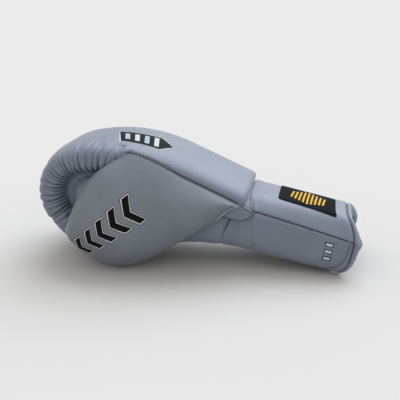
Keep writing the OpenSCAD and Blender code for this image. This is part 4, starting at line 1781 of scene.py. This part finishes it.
        # Evened along its length, so that the cuff's shoulders make no kink in it.
        near = np.exp(-((run[:, None] - run[None, :]) / 5.5) ** 2)
        even = np.tensordot(near / near.sum(axis=1, keepdims=True), rings, axes=1)
        rings = mix(rings, even, ease(np.minimum(run, run[-1] - run) / 14)[:, None, None])
        rings += pucker[..., None] * (c.place(*np.array([1.0, 0, 0])) - c.place(*np.zeros(3)))
        rings[..., 2] = np.maximum(rings[..., 2], c.fist.floor)
        verts, faces = closed_loft(rings)
        piece = make_piece("cuff_rolled_end", TABLE.row(verts), faces, [PALETTE.leather])
        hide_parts("cuff_binding")
        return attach(piece, Body.CUFF.value)

    def dress(self) -> list[bpy.types.Object]:
        """Add the wrist band, the threads, the hem, the size marks and the label."""
        return [*self.add_band(), *self.add_threads(), *self.add_hem(), *self.add_label()]

    def add_band(self) -> list[bpy.types.Object]:
        """Make the raised band at the wrist with its two rows of stitches.

        Returns:
            The band and the rows, riding on the cuff.
        """
        start, end = self.band_span
        long, wide = self.band_size
        f, k = np.linspace(start, end, 12), np.linspace(0.02, 0.98, 90)
        th = mix(self.back_lo(f)[:, None], self.back_hi(f)[:, None], k[None, :])
        tf = f[:, None] + 0 * th
        from_end, from_side = np.minimum(f - start, end - f) * long, np.minimum(k, 1 - k) * wide
        edge = np.minimum(from_end[:, None], from_side[None, :])
        outer = self.back(tf, th, self.band_rise * np.sqrt(np.clip(edge / 1.6, 0, 1)) - 0.1)
        inner = self.back(tf, th, 0 * th - 0.9)
        verts, faces = closed_loft(np.concatenate([outer, inner[:, ::-1]], axis=1))
        piece = make_piece("wrist_band_strip", TABLE.row(verts), faces, [PALETTE.leather])
        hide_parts("wrist_band")
        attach(piece, Body.CUFF.value)
        th = np.linspace(30.0, 150.0, 160)
        rows = [self.sew(f"wrist_band_thread_{i + 1}", np.full(160, place), th, 0.7, PALETTE.band_thread)
                for i, place in enumerate(self.band_rows)]
        return [piece, *rows]

    def sew(self, name: str, f: Array, th: Array, rise: float, thread: Finish) -> bpy.types.Object:
        """Sew a row on the back panel.

        Args:
            name: Name of the piece.
            f: Share of the way along the cuff at each point of the row.
            th: Angle at each point in degrees.
            rise: Height above the leather.
            thread: The thread's finish.

        Returns:
            The piece, riding on the cuff.
        """
        path = self.back(f, th, 0 * f + rise)
        across = self.back(f + 0.004, th + 0.4, 0 * f + rise) - path
        middle = self.form.place(0 * f + 50.0, 0 * f, 0 * f + self.core)
        piece = self.thread_row.sew(name, path, facing(path, across, path - middle), thread)
        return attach(piece, Body.CUFF.value)

    def add_threads(self) -> list[bpy.types.Object]:
        """Sew the two side seams of the back panel.

        Returns:
            The two rows, riding on the cuff.
        """
        f, thread = np.linspace(0.03, 0.97, 160), PALETTE.dark_thread
        near, far = self.back_hi(f) - self.thread_inset, self.back_lo(f) + self.thread_inset
        return [self.sew("cuff_seam_thread_thumb_side", f, near, 0.0, thread),
                self.sew("cuff_seam_thread_little_side", f, far, 0.0, thread)]

    def add_hem(self) -> list[bpy.types.Object]:
        """Mark the sewn edge of the turned hem and the size marks on the thumb side.

        Returns:
            The hem's line and the marks, riding on the cuff.
        """
        k = np.linspace(0, 1, 80)
        f, th = 0.975 - 0.15 * ease(k * 0.9) - 0.02 * k, mix(170.0, 232.0, k)
        verts, faces = tube(self.side(f, th, 0 * k - 0.1), np.full(k.shape, self.hem_radius))
        piece = make_piece("cuff_hem_line", TABLE.row(verts), faces, [PALETTE.crease])
        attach(piece, Body.CUFF.value)
        blocks = []
        for i in range(self.marks):
            for grow, finish, h in ((0.9, PALETTE.ink, 0.12), (0.0, PALETTE.white, 0.2)):
                y, a, b = 10.0 + self.mark_pitch * i, 3.4 + grow, 1.3 + grow
                blocks.append(PrintBlock(((-a, y - b), (a, y - b), (a, y + b), (-a, y + b)), finish, h))
        mark = print_piece("cuff_size_marks", blocks, self.lay_side)
        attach(mark, Body.CUFF.value)
        return [piece, mark]

    def lay_side(self, flat: Array) -> Array:
        """Lay flat points on the thumb side.

        Args:
            flat: Places along the cuff and down from its side seam, with a height last.

        Returns:
            Points on the leather.
        """
        th = np.linspace(150.0, 240.0, 400)
        run = distances(self.side(0 * th + self.mark_place, th, 0 * th))
        run = run - np.interp(180.0 - self.form.back_th(np.array(self.mark_place)), th, run)
        f = self.mark_place + flat[..., 0] / self.form.length
        return self.side(f, np.interp(flat[..., 1], run, th), flat[..., 2] + 0.1)

    def lay_label(self, flat: Array) -> Array:
        """Lay flat points on the back of the cuff.

        Args:
            flat: Places along the label and across it, with a height last.

        Returns:
            Points on the leather.
        """
        f = self.label_middle[0] + flat[..., 0] / self.form.length
        y = self.label_middle[1] + self.label_slant * flat[..., 0] + flat[..., 1]
        th = np.degrees(np.arccos(np.clip(signed_power(y / (self.form.width / 2), 2), -1, 1)))
        return self.back(f, th, flat[..., 2] + 0.25)

    def add_label(self) -> list[bpy.types.Object]:
        """Make the woven label with a plain gold motif.

        Returns:
            The label and its motif, riding on the cuff.
        """
        long, wide, r = self.label_size[0] / 2, self.label_size[1] / 2, self.label_corner
        gx, gy = np.meshgrid(np.linspace(-long, long, 40), np.linspace(-wide, wide, 30), indexing="ij")
        # Points past a rounded corner are drawn back to its arc.
        over = np.hypot(np.maximum(np.abs(gx) - long + r, 0), np.maximum(np.abs(gy) - wide + r, 0))
        pull = np.where(over > r, r / np.maximum(over, 1e-9), 1.0)
        ax = np.sign(gx) * (long - r + (np.abs(gx) - long + r) * pull)
        ay = np.sign(gy) * (wide - r + (np.abs(gy) - wide + r) * pull)
        gx, gy = np.where(over > r, ax, gx), np.where(over > r, ay, gy)
        top, low = (self.lay_label(np.stack([gx, gy, 0 * gx + h], axis=2)) for h in self.label_faces)
        verts, faces = closed_loft(np.concatenate([top, low[:, ::-1]], axis=1))
        piece = make_piece("cuff_label_cloth", TABLE.row(verts), faces, [PALETTE.woven])
        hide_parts("cuff_label")
        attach(piece, Body.CUFF.value)
        blocks = []
        for i in range(self.bars):
            x, half = -18.0 + self.bar_pitch * i, self.bar_half - 1.9 * abs(i - self.bars // 2)
            corners = ((x - 1.1, -half), (x + 1.1, -half), (x + 3.4, half), (x + 1.2, half))
            blocks.append(PrintBlock(corners, PALETTE.gold, self.bar_height))
        motif = print_piece("cuff_label_motif", blocks, self.lay_label)
        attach(motif, Body.CUFF.value)
        return [piece, motif]


@dataclass
class FlapAssembly:
    """One lacing flap with its bound edge and its stitches."""

    side: int
    body: Body
    leather_node: str
    stay_node: str
    inner_y: float = 8.5
    thick: float = 3.0
    margin: float = 2.0
    corner_r: float = 2.0
    bound_over: float = 0.45
    thread_inset: float = 2.4
    thread_row: Stitching = Stitching(pitch=3.0, length=2.0, radius=0.3, lift=0.05)
    form: CuffForm = CUFF

    def edge(self, inset: float) -> Array:
        """Points along the flap's three free edges, in the forms' frame.

        Args:
            inset: Distance inside the edge.

        Returns:
            Points with rounded corners.
        """
        c, r = self.form, self.corner_r
        low = c.start(np.array(-c.height)) + self.margin + inset
        high = c.length - c.end_back - self.margin - inset
        inner, outer = self.inner_y + inset, c.flap_y - 1.0
        arc = np.linspace(0, np.pi / 2, 8)
        along = np.concatenate([np.full(20, low), low + r - r * np.cos(arc),
                                np.linspace(low + r, high - r, 60),
                                high - r + r * np.sin(arc), np.full(20, high)])
        y = np.concatenate([np.linspace(outer, inner + r, 20), inner + r - r * np.sin(arc),
                            np.full(60, inner),
                            inner + r - r * np.cos(arc), np.linspace(inner + r, outer, 20)])
        up = float(c.up(np.array(c.flap_th(0.0)), np.array(0.0))) - 0.6
        return c.place(along, self.side * y, np.full(along.shape, up))

    def build(self) -> list[bpy.types.Object]:
        """Finish the flap and its stay."""
        return [finish_node(self.leather_node, PALETTE.leather), finish_node(self.stay_node, PALETTE.stay)]

    def dress(self) -> list[bpy.types.Object]:
        """Bind the free edges and sew a row beside them.

        Returns:
            The bound edge and the row, riding on the flap.
        """
        c = self.form
        up = np.array([math.sin(c.tilt), 0.0, math.cos(c.tilt)])
        path = self.edge(0.2) + up * self.thick / 2
        verts, faces = tube(path, np.full(len(path), self.thick / 2 + self.bound_over), 14)
        piece = make_piece(f"{self.body.value}_edge", TABLE.row(verts), faces, [PALETTE.leather])
        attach(piece, self.body.value)
        path = self.edge(self.thread_inset)
        down = np.tile(-up, (len(path), 1))
        thread = self.thread_row.sew(f"{self.body.value}_thread", path, down, PALETTE.grey_thread)
        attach(thread, self.body.value)
        return [piece, thread]


@dataclass
class StudioSet:
    """Camera, pale backdrop and soft light."""

    azimuth: float = 11.0
    elevation: float = 18.0
    distance: float = 0.65
    lens: float = 58.5
    sensor: float = 36.0
    clip: tuple[float, float] = (0.01, 100.0)
    centre: tuple[float, float, float] = (0.0, 0.0, 0.06)
    # Aim of the camera beside its centre, to the right and up, in metres.
    shift: tuple[float, float] = (0.002, 0.001)
    key_from: tuple[float, float, float] = (0.22, 0.58, 0.78)
    key_power: float = 2.45
    key_colour: Colour = (0.92, 0.975, 1.10)
    # Width of the key light in degrees.
    key_soft: float = 60.0
    sky: Colour = (0.957, 0.957, 0.957)
    sky_power: float = 0.86
    floor_half: float = 40.0

    def camera(self) -> None:
        """Make the camera."""
        a, e = math.radians(self.azimuth), math.radians(self.elevation)
        back = Vector((math.sin(a) * math.cos(e), -math.cos(a) * math.cos(e), math.sin(e)))
        right = Vector((math.cos(a), math.sin(a), 0.0))
        up = back.cross(right)
        data = bpy.data.cameras.new("photo_camera")
        data.lens, data.sensor_width = self.lens, self.sensor
        data.clip_start, data.clip_end = self.clip
        cam = bpy.data.objects.new("photo_camera", data)
        aim = Vector(self.centre) + right * self.shift[0] + up * self.shift[1]
        turn = Matrix((right, up, back)).transposed().to_4x4()
        cam.matrix_world = Matrix.Translation(aim + back * self.distance) @ turn
        bpy.context.scene.collection.objects.link(cam)
        bpy.context.scene.camera = cam

    def build(self) -> bpy.types.Object:
        """Make the floor, the world and the key light.

        Returns:
            The floor, which is no part of the glove.
        """
        edge = np.linspace(-self.floor_half, self.floor_half, 3)
        sheet = points(edge[None, :], edge[:, None], np.zeros((1, 1)))
        floor = make_piece("studio_floor", sheet, grid_faces(3, 3), [PALETTE.floor])
        world = bpy.data.worlds.new("studio")
        world.use_nodes = True
        set_inputs(world.node_tree.nodes["Background"], {"Color": (*self.sky, 1), "Strength": self.sky_power})
        bpy.context.scene.world = world
        bpy.context.scene.view_settings.view_transform = "Standard"
        sun = bpy.data.lights.new("key", "SUN")
        sun.energy, sun.angle, sun.color = self.key_power, math.radians(self.key_soft), self.key_colour
        lamp = bpy.data.objects.new("key", sun)
        lamp.rotation_euler = Vector(self.key_from).to_track_quat("Z", "Y").to_euler()
        bpy.context.scene.collection.objects.link(lamp)
        return floor


Assembly = HandAssembly | ThumbAssembly | CuffAssembly | FlapAssembly


def report(owner: Assembly | StudioSet, pieces: Sequence[bpy.types.Object]) -> None:
    """Log each piece beside the class that made or finished it."""
    for piece in pieces:
        LOG.info("%s: %s", type(owner).__name__, piece.name)


def main() -> None:
    """Build the studio and the glove."""
    logging.basicConfig(level=logging.INFO, format="%(name)s: %(message)s")
    studio = StudioSet()
    studio.camera()
    report(studio, [studio.build()])
    assemblies: list[Assembly] = [
        HandAssembly(),
        ThumbAssembly(),
        CuffAssembly(),
        FlapAssembly(-1, Body.FLAP_THUMB, "lace_flap_thumb_side", "lace_stay_thumb_side"),
        FlapAssembly(1, Body.FLAP_LITTLE, "lace_flap_little_side", "lace_stay_little_side"),
    ]
    for assembly in assemblies:
        report(assembly, [*assembly.build(), *assembly.dress()])


if __name__ == "__main__":
    main()
